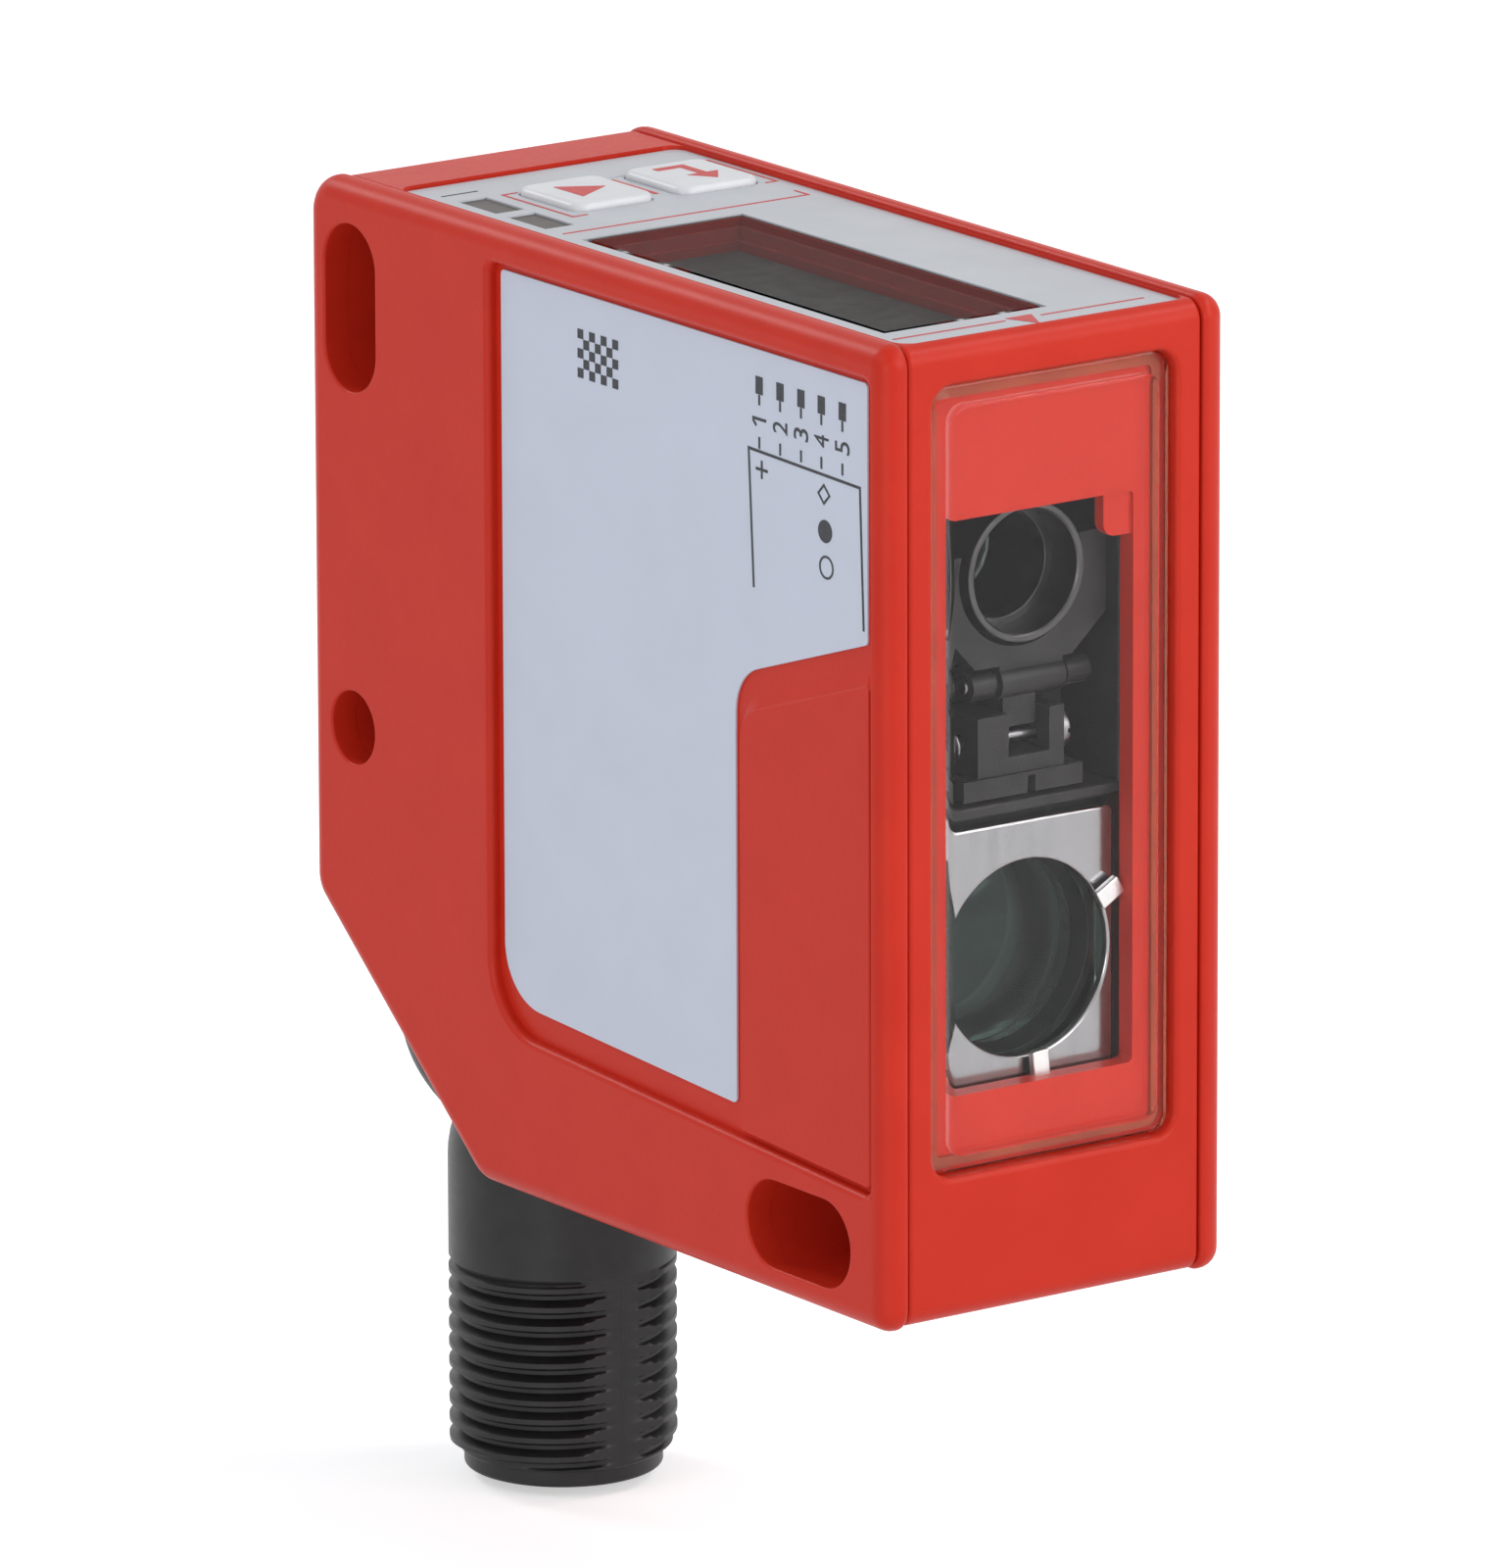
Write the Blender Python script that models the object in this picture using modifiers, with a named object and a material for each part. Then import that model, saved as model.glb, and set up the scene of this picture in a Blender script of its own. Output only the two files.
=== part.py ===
"""Compact laser distance sensor with a turning round plug connector.

The +X side face is the plain one that lies against the mounting bracket, and its centre is the origin.
-Y looks out of the window along the beam, and +Z looks up out of the control panel. Sizes are in metres.
"""
import math

import bmesh
import bpy
from mathutils import Matrix, Vector

# Housing
WIDTH = 0.0210
LENGTH = 0.0500
HEIGHT = 0.0500
CHAMFER_LENGTH = 0.0146
CHAMFER_HEIGHT = 0.0124
FRONT_CORNER_RADIUS = 0.0012
REAR_CORNER_RADIUS = 0.0020
COVER_THICKNESS = 0.0015
COVER_EDGE_RADIUS = 0.0011
FRAME_STEP = 0.00015
FRONT_WALL = 0.0026
TOP_WALL = 0.0026
REAR_WALL = 0.0018
BOTTOM_WALL = 0.0018
CHAMFER_WALL = 0.0020
LIP_HEIGHT = 0.0007
LIP_THICKNESS = 0.0008
SEAT_GAP = 0.00025

# Mounting holes, through the whole width
SLOT_WIDTH = 0.0045
SLOT_LENGTH = 0.0087
UPRIGHT_SLOT_TO_REAR = 0.0039
UPRIGHT_SLOT_BELOW = 0.00645
LEVEL_SLOT_BEHIND = 0.0074
LEVEL_SLOT_TO_BOTTOM = 0.0037
ROUND_HOLE_DIAMETER = 0.0038
ROUND_HOLE_TO_CHAMFER = 0.0092
BOSS_WALL = 0.0012

# Label side
LABEL_RECESS_DEPTH = 0.0006
LABEL_RECESS_FRONT = 0.0010
LABEL_RECESS_TO_REAR = 0.0161
LABEL_RECESS_TOP = 0.0018
LABEL_RECESS_RISE_REAR = 0.0086
LABEL_RECESS_RISE_FRONT = 0.0069
LABEL_RECESS_CORNER = 0.0038
LABEL_MARGIN = 0.0006
LABEL_BOTTOM_MARGIN = 0.0015
LABEL_THICKNESS = 0.00015
LABEL_STEP_BELOW = 0.0150
LABEL_STEP_BEHIND = 0.0132
LABEL_STEP_SLOPE = math.radians(18.5)
LABEL_STEP_CORNER = 0.0018
PAD_GAP = 0.0011
PAD_RISE = 0.00025

# Front window
WINDOW_TO_SIDE = 0.003075
WINDOW_HEIGHT = 0.0401
WINDOW_BELOW = 0.0024
WINDOW_CORNER = 0.0012
WINDOW_DEPTH = 0.0015
WINDOW_FLANGE = 0.0006
PANE_STEP = 0.0010
PANE_RISE = 0.00045
PANE_BELOW = 0.0001
OPENING_LEDGE = 0.001875
OPENING_HEIGHT = 0.0292
OPENING_BELOW = 0.0095
OPENING_CORNER = 0.0003
OPENING_TAB_WIDTH = 0.0017
OPENING_TAB_HEIGHT = 0.0022
TAB_SETBACK = 0.0002
SEAL_INSET = 0.00035
SEAL_WIDTH = 0.0005
SEAL_GROOVE_DEPTH = 0.0004

# Control panel
FOIL_BELOW = 0.00035
FOIL_THICKNESS = 0.0002
FOIL_FRONT = 0.0010
FOIL_TO_REAR = 0.0056
DISPLAY_ACROSS = 0.0031
DISPLAY_BEHIND = 0.0043
DISPLAY_TO_SIDE = 0.0080
DISPLAY_TO_LIGHT = 0.0030
DISPLAY_LEDGE = 0.0008
DISPLAY_PANE_THICKNESS = 0.0005
DISPLAY_GLASS_BELOW = 0.0021
DISPLAY_MODULE_THICKNESS = 0.0025
KEY_LENGTH = 0.0055
KEY_TO_BOSS = 0.0021
KEY_TO_SIDE = 0.0031
KEY_SPACE = 0.0015
KEY_CORNER = 0.0008
KEY_RISE = 0.0007
KEY_FLANGE = 0.0004
KEY_FLANGE_THICKNESS = 0.0004
KEY_TRAVEL = 0.0004
SWITCH_SIZE = 0.0034
SWITCH_BODY_HEIGHT = 0.0012
SWITCH_EDGE = 0.00015
SWITCH_STUB_RADIUS = 0.0009
STUB_GAP = 0.00005
LIGHT_ACROSS = 0.0039
LIGHT_WIDTH = 0.0017
LIGHT_LENGTH = 0.0034
LIGHT_TO_BOSS = 0.0019
LIGHT_SPACE = 0.00095
LIGHT_TO_KEY = 0.00165
LAMP_WIDTH = 0.0013
LAMP_LENGTH = 0.0020
LAMP_HEIGHT = 0.0007
LAMP_EDGE = 0.0001

# Boards
BOARD_THICKNESS = 0.0010
DISPLAY_BOARD_FRONT = 0.0040
DISPLAY_BOARD_MARGIN = 0.0030
BOARD_CORNER = 0.0005
CHIP_EDGE = 0.00018
LEDGE_DEPTH = 0.0020
LEDGE_THICKNESS = 0.0010
MAIN_BOARD_TO_OPTICS = 0.0006
MAIN_BOARD_TO_REAR = 0.0090
MAIN_BOARD_TOP = 0.0090
MAIN_BOARD_TO_BOTTOM = 0.0100
STANDOFF_HEIGHT = 0.0006
STANDOFF_RADIUS = 0.0012
LINK_TO_EDGE = 0.0007
LINK_LENGTH = 0.0080
LINK_WIDTH = 0.0022
LINK_REACH = 0.0020
# Chip sizes are length, height and thickness, and the chips stand in one column
CHIP_COLUMN_TO_EDGE = 0.0046
PROCESSOR_TO_TOP = 0.0080
REGULATOR_TO_BOTTOM = 0.0120
DRIVER_TO_BOTTOM = 0.0055
PROCESSOR_SIZE = (0.0070, 0.0070, 0.0010)
REGULATOR_SIZE = (0.0050, 0.0040, 0.0015)
DRIVER_SIZE = (0.0040, 0.0050, 0.0012)

# Optics
LASER_BELOW = 0.0131
LASER_TUBE_RADIUS = 0.00355
LASER_TUBE_BORE = 0.0029
LASER_TUBE_LENGTH = 0.0140
COLLIMATOR_DEPTH = 0.0059
COLLIMATOR_THICKNESS = 0.0020
COLLIMATOR_SAG = 0.0008
DIODE_DEPTH = 0.0126
DIODE_CAN_RADIUS = 0.0018
DIODE_CAN_HEIGHT = 0.0018
DIODE_FLANGE_THICKNESS = 0.0009
DIODE_LEAD_RADIUS = 0.00023
DIODE_LEAD_CIRCLE = 0.0009
DIODE_LEAD_LENGTH = 0.0027
LENS_BELOW = 0.03275
APERTURE_RADIUS = 0.0050
LENS_PLATE_WIDTH = 0.0108
LENS_PLATE_TOP = 0.0257
LENS_PLATE_BOTTOM = 0.0391
LENS_PLATE_THICKNESS = 0.0004
FILTER_THICKNESS = 0.0010
BARREL_RADIUS = 0.0057
BARREL_BORE = 0.00525
BARREL_LENGTH = 0.0150
LENS_SHOULDER_BORE = 0.00475
BARREL_END_BORE = 0.0035
BARREL_END_THICKNESS = 0.0015
BAFFLE_BORES = (0.0038, 0.0042)
BAFFLE_SPACING = 0.0040
BAFFLE_THICKNESS = 0.0006
RECEIVER_LENS_THICKNESS = 0.0030
RECEIVER_LENS_SAG = 0.0009
CARRIER_WIDTH = 0.0129
CARRIER_WALL = 0.0008
CARRIER_WEB = 0.0246
CARRIER_FLOOR = 0.0006
LENS_BLOCK_BELOW = 0.0248
CARRIER_BOTTOM = 0.0400
CHAMBER_DEPTH = 0.0126
YOKE_THICKNESS = 0.0030
YOKE_ARM_TOP = 0.0120
YOKE_WIDTH = 0.0091
YOKE_FOOT_WIDTH = 0.0056
YOKE_SHOULDER_BELOW = 0.0159
YOKE_FOOT_BELOW = 0.0178
HINGE_BELOW = 0.0190
HINGE_RADIUS = 0.00095
HINGE_PIN_RADIUS = 0.0004
HINGE_BEHIND = 0.0048
HINGE_LENGTH = 0.0039
HINGE_OFFSET = 0.0007
HINGE_NECK_HALF = 0.00066
KNUCKLE_LENGTH = 0.0014
KNUCKLE_RADIUS = 0.00076
KNUCKLE_WEB_HALF = 0.00057
TONGUE_WIDTH = 0.0020
TONGUE_BELOW = 0.0212
YOKE_BASE_WIDTH = 0.0053
YOKE_BASE_TOP = 0.0203
BASE_PLATE_THICKNESS = 0.0010
BASE_FOOT_REACH = 0.0010
BASE_FOOT_HEIGHT = 0.0010
NOTCH_DEPTH = 0.0022
ADJUSTER_BELOW = 0.02185
ADJUSTER_HEAD_RADIUS = 0.0011
ADJUSTER_HEAD_THICKNESS = 0.0005
ADJUSTER_NUT_RADIUS = 0.0009
ADJUSTER_SHANK_RADIUS = 0.00035
ADJUSTER_SPRING_LENGTH = 0.0017
SPRING_WIRE_RADIUS = 0.00013
SPRING_TURNS = 4
SPRING_STEPS = 12
LENS_CLIP_LENGTH = 0.0013
LENS_CLIP_WIDTH = 0.00065
LENS_CLIP_OVERHANG = 0.00043
LENS_CLIP_THICKNESS = 0.00025
RECEIVER_CHIP_SIZE = 0.0048
RECEIVER_CHIP_THICKNESS = 0.0009
RECEIVER_BOARD_SIZE = 0.0110

# Turning connector
TURRET_RADIUS = 0.0077
TURRET_HEIGHT = 0.0048
TURRET_EDGE_RADIUS = 0.0022
NOSE_RADIUS = 0.0059
NOSE_REACH = 0.0246
THREAD_PITCH = 0.0010
THREAD_DEPTH = 0.00055
THREAD_CREST = 0.0003
THREAD_TURNS = 10
END_RING_RADIUS = 0.00515
END_RING_LENGTH = 0.0009
END_RING_CHAMFER = 0.0002
SOCKET_RADIUS = 0.00435
SOCKET_DEPTH = 0.0088
LEAD_BORE_RADIUS = 0.0030
LEAD_BORE_END = 0.0040
NECK_BORE_END = 0.0036
NECK_RADIUS = 0.0050
NECK_LIP = 0.0009
RETAINER_THICKNESS = 0.0007
RETAINER_GROOVE_DEPTH = 0.0007
RETAINER_WIDTH = 0.0019
SWIVEL_SEAL_RADIUS = 0.0064
SWIVEL_SEAL_SECTION = 0.0004
INSERT_LENGTH = 0.0050
SOLDER_ROOM = 0.0016
SOLDER_TAIL = 0.0010
CODING_KEY_WIDTH = 0.0012
PIN_RADIUS = 0.0005
PIN_CIRCLE_RADIUS = 0.0030
PIN_REACH = 0.0075

# How finely curves are cut into flats
ARC_STEP = math.radians(18)
SMOOTH_ANGLE = math.radians(35)
ROUND_SIDES = 24
CONNECTOR_SIDES = 28
SMALL_SIDES = 12
DOME_STEPS = 4
WELD_DISTANCE = 0.000001

# How far joined shapes run into each other and cutters run past a face
OVERLAP = 0.0004
THROUGH = 0.0010

# Fine clearances
SEAL_GAP = 0.00015
PIN_GAP = 0.0001

FRONT_Y = -LENGTH / 2
TOP_Z = HEIGHT / 2
MID_X = -WIDTH / 2
CHAMFER_ANGLE = math.atan2(CHAMFER_HEIGHT, CHAMFER_LENGTH)
SWIVEL_CENTRE = Vector((MID_X, -FRONT_Y - CHAMFER_LENGTH / 2, CHAMFER_HEIGHT / 2 - TOP_Z))
SWIVEL_PLACE = Matrix.Translation(SWIVEL_CENTRE) @ Matrix.Rotation(math.pi + CHAMFER_ANGLE, 4, "X")
NOSE_PLACE = Matrix.Translation(SWIVEL_CENTRE) @ Matrix.Rotation(math.pi, 4, "X")
FRONT_PLACE = Matrix.Rotation(math.radians(90), 4, "X")

# Places that follow from the sizes above
FRAME_LEFT = COVER_THICKNESS + SEAT_GAP - WIDTH
FRAME_RIGHT = -COVER_THICKNESS - SEAT_GAP
UPRIGHT_SLOT_BEHIND = LENGTH - UPRIGHT_SLOT_TO_REAR
LEVEL_SLOT_BELOW = HEIGHT - LEVEL_SLOT_TO_BOTTOM
ROUND_HOLE_BELOW = HEIGHT - CHAMFER_HEIGHT - ROUND_HOLE_TO_CHAMFER
BOSS_FRONT = UPRIGHT_SLOT_BEHIND - SLOT_WIDTH / 2 - BOSS_WALL
LABEL_RECESS_REAR = LENGTH - LABEL_RECESS_TO_REAR
LABEL_RECESS_BOTTOM_REAR = HEIGHT - LABEL_RECESS_RISE_REAR
LABEL_RECESS_BOTTOM_FRONT = HEIGHT - LABEL_RECESS_RISE_FRONT
WINDOW_WIDTH = WIDTH - 2 * WINDOW_TO_SIDE
OPENING_WIDTH = WINDOW_WIDTH - 2 * OPENING_LEDGE
FOIL_REAR = LENGTH - FOIL_TO_REAR
REAR_LIGHT_BEHIND = BOSS_FRONT - LIGHT_TO_BOSS - LIGHT_LENGTH / 2
FRONT_LIGHT_BEHIND = REAR_LIGHT_BEHIND - LIGHT_LENGTH - LIGHT_SPACE
DISPLAY_WIDTH = WIDTH - DISPLAY_ACROSS - DISPLAY_TO_SIDE
DISPLAY_LENGTH = FRONT_LIGHT_BEHIND - LIGHT_LENGTH / 2 - DISPLAY_TO_LIGHT - DISPLAY_BEHIND
KEY_BEHIND = BOSS_FRONT - KEY_TO_BOSS - KEY_LENGTH / 2
KEYS_LEFT = LIGHT_ACROSS + LIGHT_WIDTH / 2 + LIGHT_TO_KEY
KEY_WIDTH = (WIDTH - KEYS_LEFT - KEY_SPACE - KEY_TO_SIDE) / 2
UP_KEY_ACROSS = KEYS_LEFT + KEY_WIDTH / 2
SELECT_KEY_ACROSS = UP_KEY_ACROSS + KEY_WIDTH + KEY_SPACE
FOIL_FLOOR = FOIL_BELOW + FOIL_THICKNESS + SEAT_GAP
PANE_SEAT = FOIL_BELOW + DISPLAY_PANE_THICKNESS + SEAT_GAP
MODULE_BELOW = TOP_WALL + SEAT_GAP
BOARD_BELOW = MODULE_BELOW + DISPLAY_MODULE_THICKNESS + SEAT_GAP
LEDGE_TOP = BOARD_BELOW + BOARD_THICKNESS + SEAT_GAP
CARRIER_TOP = LEDGE_TOP + LEDGE_THICKNESS + SEAT_GAP
MAIN_BOARD_FACE = -COVER_THICKNESS - STANDOFF_HEIGHT - SEAT_GAP - BOARD_THICKNESS
OPTICS_FRONT = FRONT_WALL + SEAT_GAP
FILTER_FRONT = OPTICS_FRONT + LENS_PLATE_THICKNESS + SEAT_GAP
LENS_SEAT = FILTER_FRONT + FILTER_THICKNESS + SEAT_GAP
BARREL_FRONT = LENS_SEAT + SEAT_GAP
RECEIVER_CHIP_BACK = BARREL_FRONT + BARREL_LENGTH + SEAT_GAP + RECEIVER_CHIP_THICKNESS
RECEIVER_BOARD_FRONT = RECEIVER_CHIP_BACK + SEAT_GAP
MAIN_BOARD_FRONT = RECEIVER_BOARD_FRONT + BOARD_THICKNESS + MAIN_BOARD_TO_OPTICS
MAIN_BOARD_REAR = LENGTH - MAIN_BOARD_TO_REAR
MAIN_BOARD_BOTTOM = HEIGHT - MAIN_BOARD_TO_BOTTOM
CHIP_COLUMN = MAIN_BOARD_REAR - CHIP_COLUMN_TO_EDGE
LINK_REAR = MAIN_BOARD_REAR - LINK_TO_EDGE
HINGE_LEFT = MID_X - HINGE_OFFSET
RETAINER_HIGH = -CHAMFER_WALL - SEAT_GAP
RETAINER_LOW = RETAINER_HIGH - RETAINER_THICKNESS
NECK_END = RETAINER_LOW - SEAL_GAP - NECK_LIP
NOSE_DOME = (NOSE_RADIUS + SEAT_GAP) / math.cos(CHAMFER_ANGLE)
PIN_FACE = NOSE_REACH - SOCKET_DEPTH
INSERT_BACK = PIN_FACE - INSERT_LENGTH
BOARD_SEAT = BOARD_BELOW - SEAT_GAP
FLANGE_BELOW = TOP_WALL + SEAT_GAP
TONGUE_LEFT = MID_X - TONGUE_WIDTH / 4


def across(distance):
    """X of a place this far in from the label side."""
    return distance - WIDTH


def behind(distance):
    """Y of a place this far behind the front face."""
    return FRONT_Y + distance


def below(distance):
    """Z of a place this far below the top."""
    return TOP_Z - distance


def on_axis(place, height):
    """The point at this height on a placed shape's own Z."""
    return place @ Vector((0, 0, height))


SLAB_AXES = ("side", "front", "top")
PARTS_NAME = "distance_sensor"
CUTTERS_NAME = "cutters"


def clear_scene():
    """Start from an empty scene with one collection for the pieces and one for the cutters."""
    for obj in list(bpy.data.objects):
        bpy.data.objects.remove(obj, do_unlink=True)
    for name in (PARTS_NAME, CUTTERS_NAME):
        bpy.context.scene.collection.children.link(bpy.data.collections.new(name))


def principled(name, colour, roughness, metallic=0.0, alpha=1.0):
    """A plain finish: colour is linear red, green and blue."""
    material = bpy.data.materials.new(name)
    material.use_nodes = True
    shader = material.node_tree.nodes["Principled BSDF"]
    shader.inputs["Base Color"].default_value = (*colour, 1.0)
    shader.inputs["Roughness"].default_value = roughness
    shader.inputs["Metallic"].default_value = metallic
    shader.inputs["Alpha"].default_value = alpha
    return material


def new_object(name, shape):
    """An object from a finished bmesh, among the cutters until it is made a piece."""
    mesh = bpy.data.meshes.new(name)
    shape.to_mesh(mesh)
    shape.free()
    obj = bpy.data.objects.new(name, mesh)
    obj.hide_render = True
    obj.display_type = "WIRE"
    bpy.data.collections[CUTTERS_NAME].objects.link(obj)
    return obj


def piece(obj, finish, parent=None):
    """Make a shape one of the sensor's own pieces, in this finish."""
    bpy.data.collections[CUTTERS_NAME].objects.unlink(obj)
    bpy.data.collections[PARTS_NAME].objects.link(obj)
    obj.hide_render = False
    obj.display_type = "TEXTURED"
    obj.data.shade_smooth()
    obj.data.set_sharp_from_angle(angle=SMOOTH_ANGLE)
    obj.data.materials.append(finish)
    if parent:
        obj.parent = parent
        obj.matrix_parent_inverse = parent.matrix_world.inverted()
    return obj


def cut(target, cutter, operation="DIFFERENCE"):
    """Cut a shape with another, or join the two with operation UNION."""
    boolean = target.modifiers.new(cutter.name, "BOOLEAN")
    boolean.operation = operation
    boolean.solver = "EXACT"
    boolean.object = cutter
    return target


def join(target, *others):
    for other in others:
        cut(target, other, "UNION")
    return target


def block(name, low, high):
    """A box between two corners."""
    low, high = Vector(low), Vector(high)
    shape = bmesh.new()
    bmesh.ops.create_cube(shape, size=1.0, matrix=Matrix.Diagonal((*(high - low), 1.0)))
    obj = new_object(name, shape)
    obj.location = (low + high) / 2
    return obj


def rod(name, radius, start, end, sides=ROUND_SIDES):
    """A round bar between two points."""
    start, end = Vector(start), Vector(end)
    length = (end - start).length
    shape = bmesh.new()
    bmesh.ops.create_cone(shape, cap_ends=True, segments=sides, radius1=radius, radius2=radius, depth=length)
    obj = new_object(name, shape)
    turn = (end - start).to_track_quat("Z", "Y").to_matrix().to_4x4()
    obj.matrix_world = Matrix.Translation((start + end) / 2) @ turn
    return obj


def turned(name, profile, place, closed=False, sides=ROUND_SIDES):
    """A shape turned about its own Z from (radius, height) points that run down its outer side."""
    shape = bmesh.new()
    points = [shape.verts.new((radius, 0, height)) for radius, height in profile]
    for first, second in zip(points, points[1:]):
        shape.edges.new((first, second))
    if closed:
        shape.edges.new((points[-1], points[0]))
    obj = new_object(name, shape)
    obj.matrix_world = place
    screw = obj.modifiers.new("turn", "SCREW")
    screw.steps = sides
    screw.render_steps = sides
    screw.use_merge_vertices = True
    screw.merge_threshold = WELD_DISTANCE
    return obj


def ring(name, inner, outer, low, high, place, sides=ROUND_SIDES):
    """A flat ring about the local Z."""
    profile = [(outer, high), (outer, low), (inner, low), (inner, high)]
    return turned(name, profile, place, True, sides)


def rounded(corners):
    """The points of a closed outline whose (u, v, radius) corners are rounded by arcs."""
    points = []
    for index, (u, v, radius) in enumerate(corners):
        corner = Vector((u, v))
        before = (Vector(corners[index - 1][:2]) - corner).normalized()
        after = (Vector(corners[(index + 1) % len(corners)][:2]) - corner).normalized()
        if radius <= 0:
            points.append(corner)
            continue
        half = before.angle(after) / 2
        middle = corner + (before + after).normalized() * radius / math.sin(half)
        start = corner + before * radius / math.tan(half) - middle
        end = corner + after * radius / math.tan(half) - middle
        sweep = math.atan2(start.cross(end), start.dot(end))
        steps = max(2, round(abs(sweep) / ARC_STEP))
        for step in range(steps + 1):
            points.append(middle + Matrix.Rotation(sweep * step / steps, 2) @ start)
    return [point for index, point in enumerate(points) if (point - points[index - 1]).length > WELD_DISTANCE]


def inset(corners, walls):
    """Corners of an anticlockwise outline moved inwards, by one wall or by one for each side in turn."""
    count = len(corners)
    if not isinstance(walls, (list, tuple)):
        walls = [walls] * count
    moved = []
    for index, (u, v, radius) in enumerate(corners):
        here = Vector((u, v))
        arriving = (here - Vector(corners[index - 1][:2])).normalized()
        leaving = (Vector(corners[(index + 1) % count][:2]) - here).normalized()
        first = Vector((-arriving.y, arriving.x))
        second = Vector((-leaving.y, leaving.x))
        first_wall, second_wall = walls[index - 1], walls[index]
        cosine = first.dot(second)
        shift = first * (first_wall - second_wall * cosine) + second * (second_wall - first_wall * cosine)
        here += shift / (1 - cosine * cosine)
        turn = 1 if arriving.cross(leaving) > 0 else -1
        moved.append((here.x, here.y, max(0.0, radius - turn * (first_wall + second_wall) / 2)))
    return moved


def oblong(centre, width, height, radius):
    """Anticlockwise corners of a rounded rectangle about a centre."""
    u, v = centre
    half_width, half_height = width / 2, height / 2
    signs = ((-1, -1), (1, -1), (1, 1), (-1, 1))
    return [(u + side * half_width, v + end * half_height, radius) for side, end in signs]


def slab_turn(facing):
    """How a flat outline is turned to face the side, the front or the top."""
    if facing == "side":
        return Matrix(((0, 0, 1), (1, 0, 0), (0, 1, 0))).to_4x4()
    if facing == "front":
        return Matrix(((1, 0, 0), (0, 0, -1), (0, 1, 0))).to_4x4()
    return Matrix.Identity(4)


def slab(name, outlines, low, high, facing):
    """A flat piece between two levels along its axis: the first outline is outside, the rest are holes."""
    curve = bpy.data.curves.new(name, "CURVE")
    curve.dimensions = "2D"
    curve.fill_mode = "BOTH"
    curve.extrude = (high - low) / 2
    for corners in outlines:
        points = rounded(corners)
        spline = curve.splines.new("POLY")
        spline.points.add(len(points) - 1)
        for point, (u, v) in zip(spline.points, points):
            point.co = (u, v, 0, 1)
        spline.use_cyclic_u = True
    holder = bpy.data.objects.new(name, curve)
    offset = Vector((0, 0, 0))
    offset[SLAB_AXES.index(facing)] = (low + high) / 2
    holder.matrix_world = Matrix.Translation(offset) @ slab_turn(facing)
    bpy.context.scene.collection.objects.link(holder)
    evaluated = holder.evaluated_get(bpy.context.evaluated_depsgraph_get())
    mesh = bpy.data.meshes.new_from_object(evaluated)
    place = holder.matrix_world.copy()
    bpy.data.objects.remove(holder)
    shape = bmesh.new()
    shape.from_mesh(mesh)
    bpy.data.meshes.remove(mesh)
    bmesh.ops.remove_doubles(shape, verts=shape.verts, dist=WELD_DISTANCE)
    bmesh.ops.dissolve_limit(shape, angle_limit=math.radians(1), verts=shape.verts, edges=shape.edges)
    obj = new_object(name, shape)
    obj.matrix_world = place
    return obj


def round_rim(obj, facing, level, radius, segments=3):
    """Round the edges of a slab that lie at this level along its axis."""
    axis = SLAB_AXES.index(facing)
    shape = bmesh.new()
    shape.from_mesh(obj.data)
    place = obj.matrix_world
    rim = [edge for edge in shape.edges
           if all(abs((place @ vert.co)[axis] - level) < WELD_DISTANCE for vert in edge.verts)]
    bmesh.ops.bevel(shape, geom=rim, offset=radius, segments=segments, profile=0.5, affect="EDGES")
    shape.to_mesh(obj.data)
    shape.free()
    return obj


def soften(obj, radius, segments=2):
    """Round every sharp edge of a plain piece."""
    bevel = obj.modifiers.new("soften", "BEVEL")
    bevel.width = radius
    bevel.segments = segments
    bevel.limit_method = "ANGLE"
    bevel.angle_limit = SMOOTH_ANGLE
    return obj


def side_outline():
    """The housing from the side, anticlockwise from its lower front corner, as (y, z, radius)."""
    rear_y, bottom_z = -FRONT_Y, -TOP_Z
    return [
        (FRONT_Y, bottom_z, FRONT_CORNER_RADIUS),
        (rear_y - CHAMFER_LENGTH, bottom_z, REAR_CORNER_RADIUS),
        (rear_y, bottom_z + CHAMFER_HEIGHT, REAR_CORNER_RADIUS),
        (rear_y, TOP_Z, REAR_CORNER_RADIUS),
        (FRONT_Y, TOP_Z, FRONT_CORNER_RADIUS),
    ]


def cavity_outline():
    """The hollow inside the frame's five walls."""
    return inset(side_outline(), [BOTTOM_WALL, CHAMFER_WALL, REAR_WALL, TOP_WALL, FRONT_WALL])


def mounting_outlines(margin=0.0):
    """The three mounting holes from the side, grown by a margin."""
    width = SLOT_WIDTH + 2 * margin
    length = SLOT_LENGTH + 2 * margin
    hole = ROUND_HOLE_DIAMETER + 2 * margin
    upright = (behind(UPRIGHT_SLOT_BEHIND), below(UPRIGHT_SLOT_BELOW))
    level = (behind(LEVEL_SLOT_BEHIND), below(LEVEL_SLOT_BELOW))
    round_hole = (behind(UPRIGHT_SLOT_BEHIND), below(ROUND_HOLE_BELOW))
    return {
        "upright_slot": oblong(upright, width, length, width / 2),
        "level_slot": oblong(level, length, width, width / 2),
        "round_hole": oblong(round_hole, hole, hole, hole / 2),
    }


def mounting_cutters():
    """One cutter for each mounting hole, shared by the frame and both covers."""
    return [slab(name, [corners], -WIDTH - THROUGH, THROUGH, "side")
            for name, corners in mounting_outlines().items()]


def window_outline(step=0.0):
    centre = (MID_X, below(WINDOW_BELOW + WINDOW_HEIGHT / 2))
    return inset(oblong(centre, WINDOW_WIDTH, WINDOW_HEIGHT, WINDOW_CORNER), step)


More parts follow.
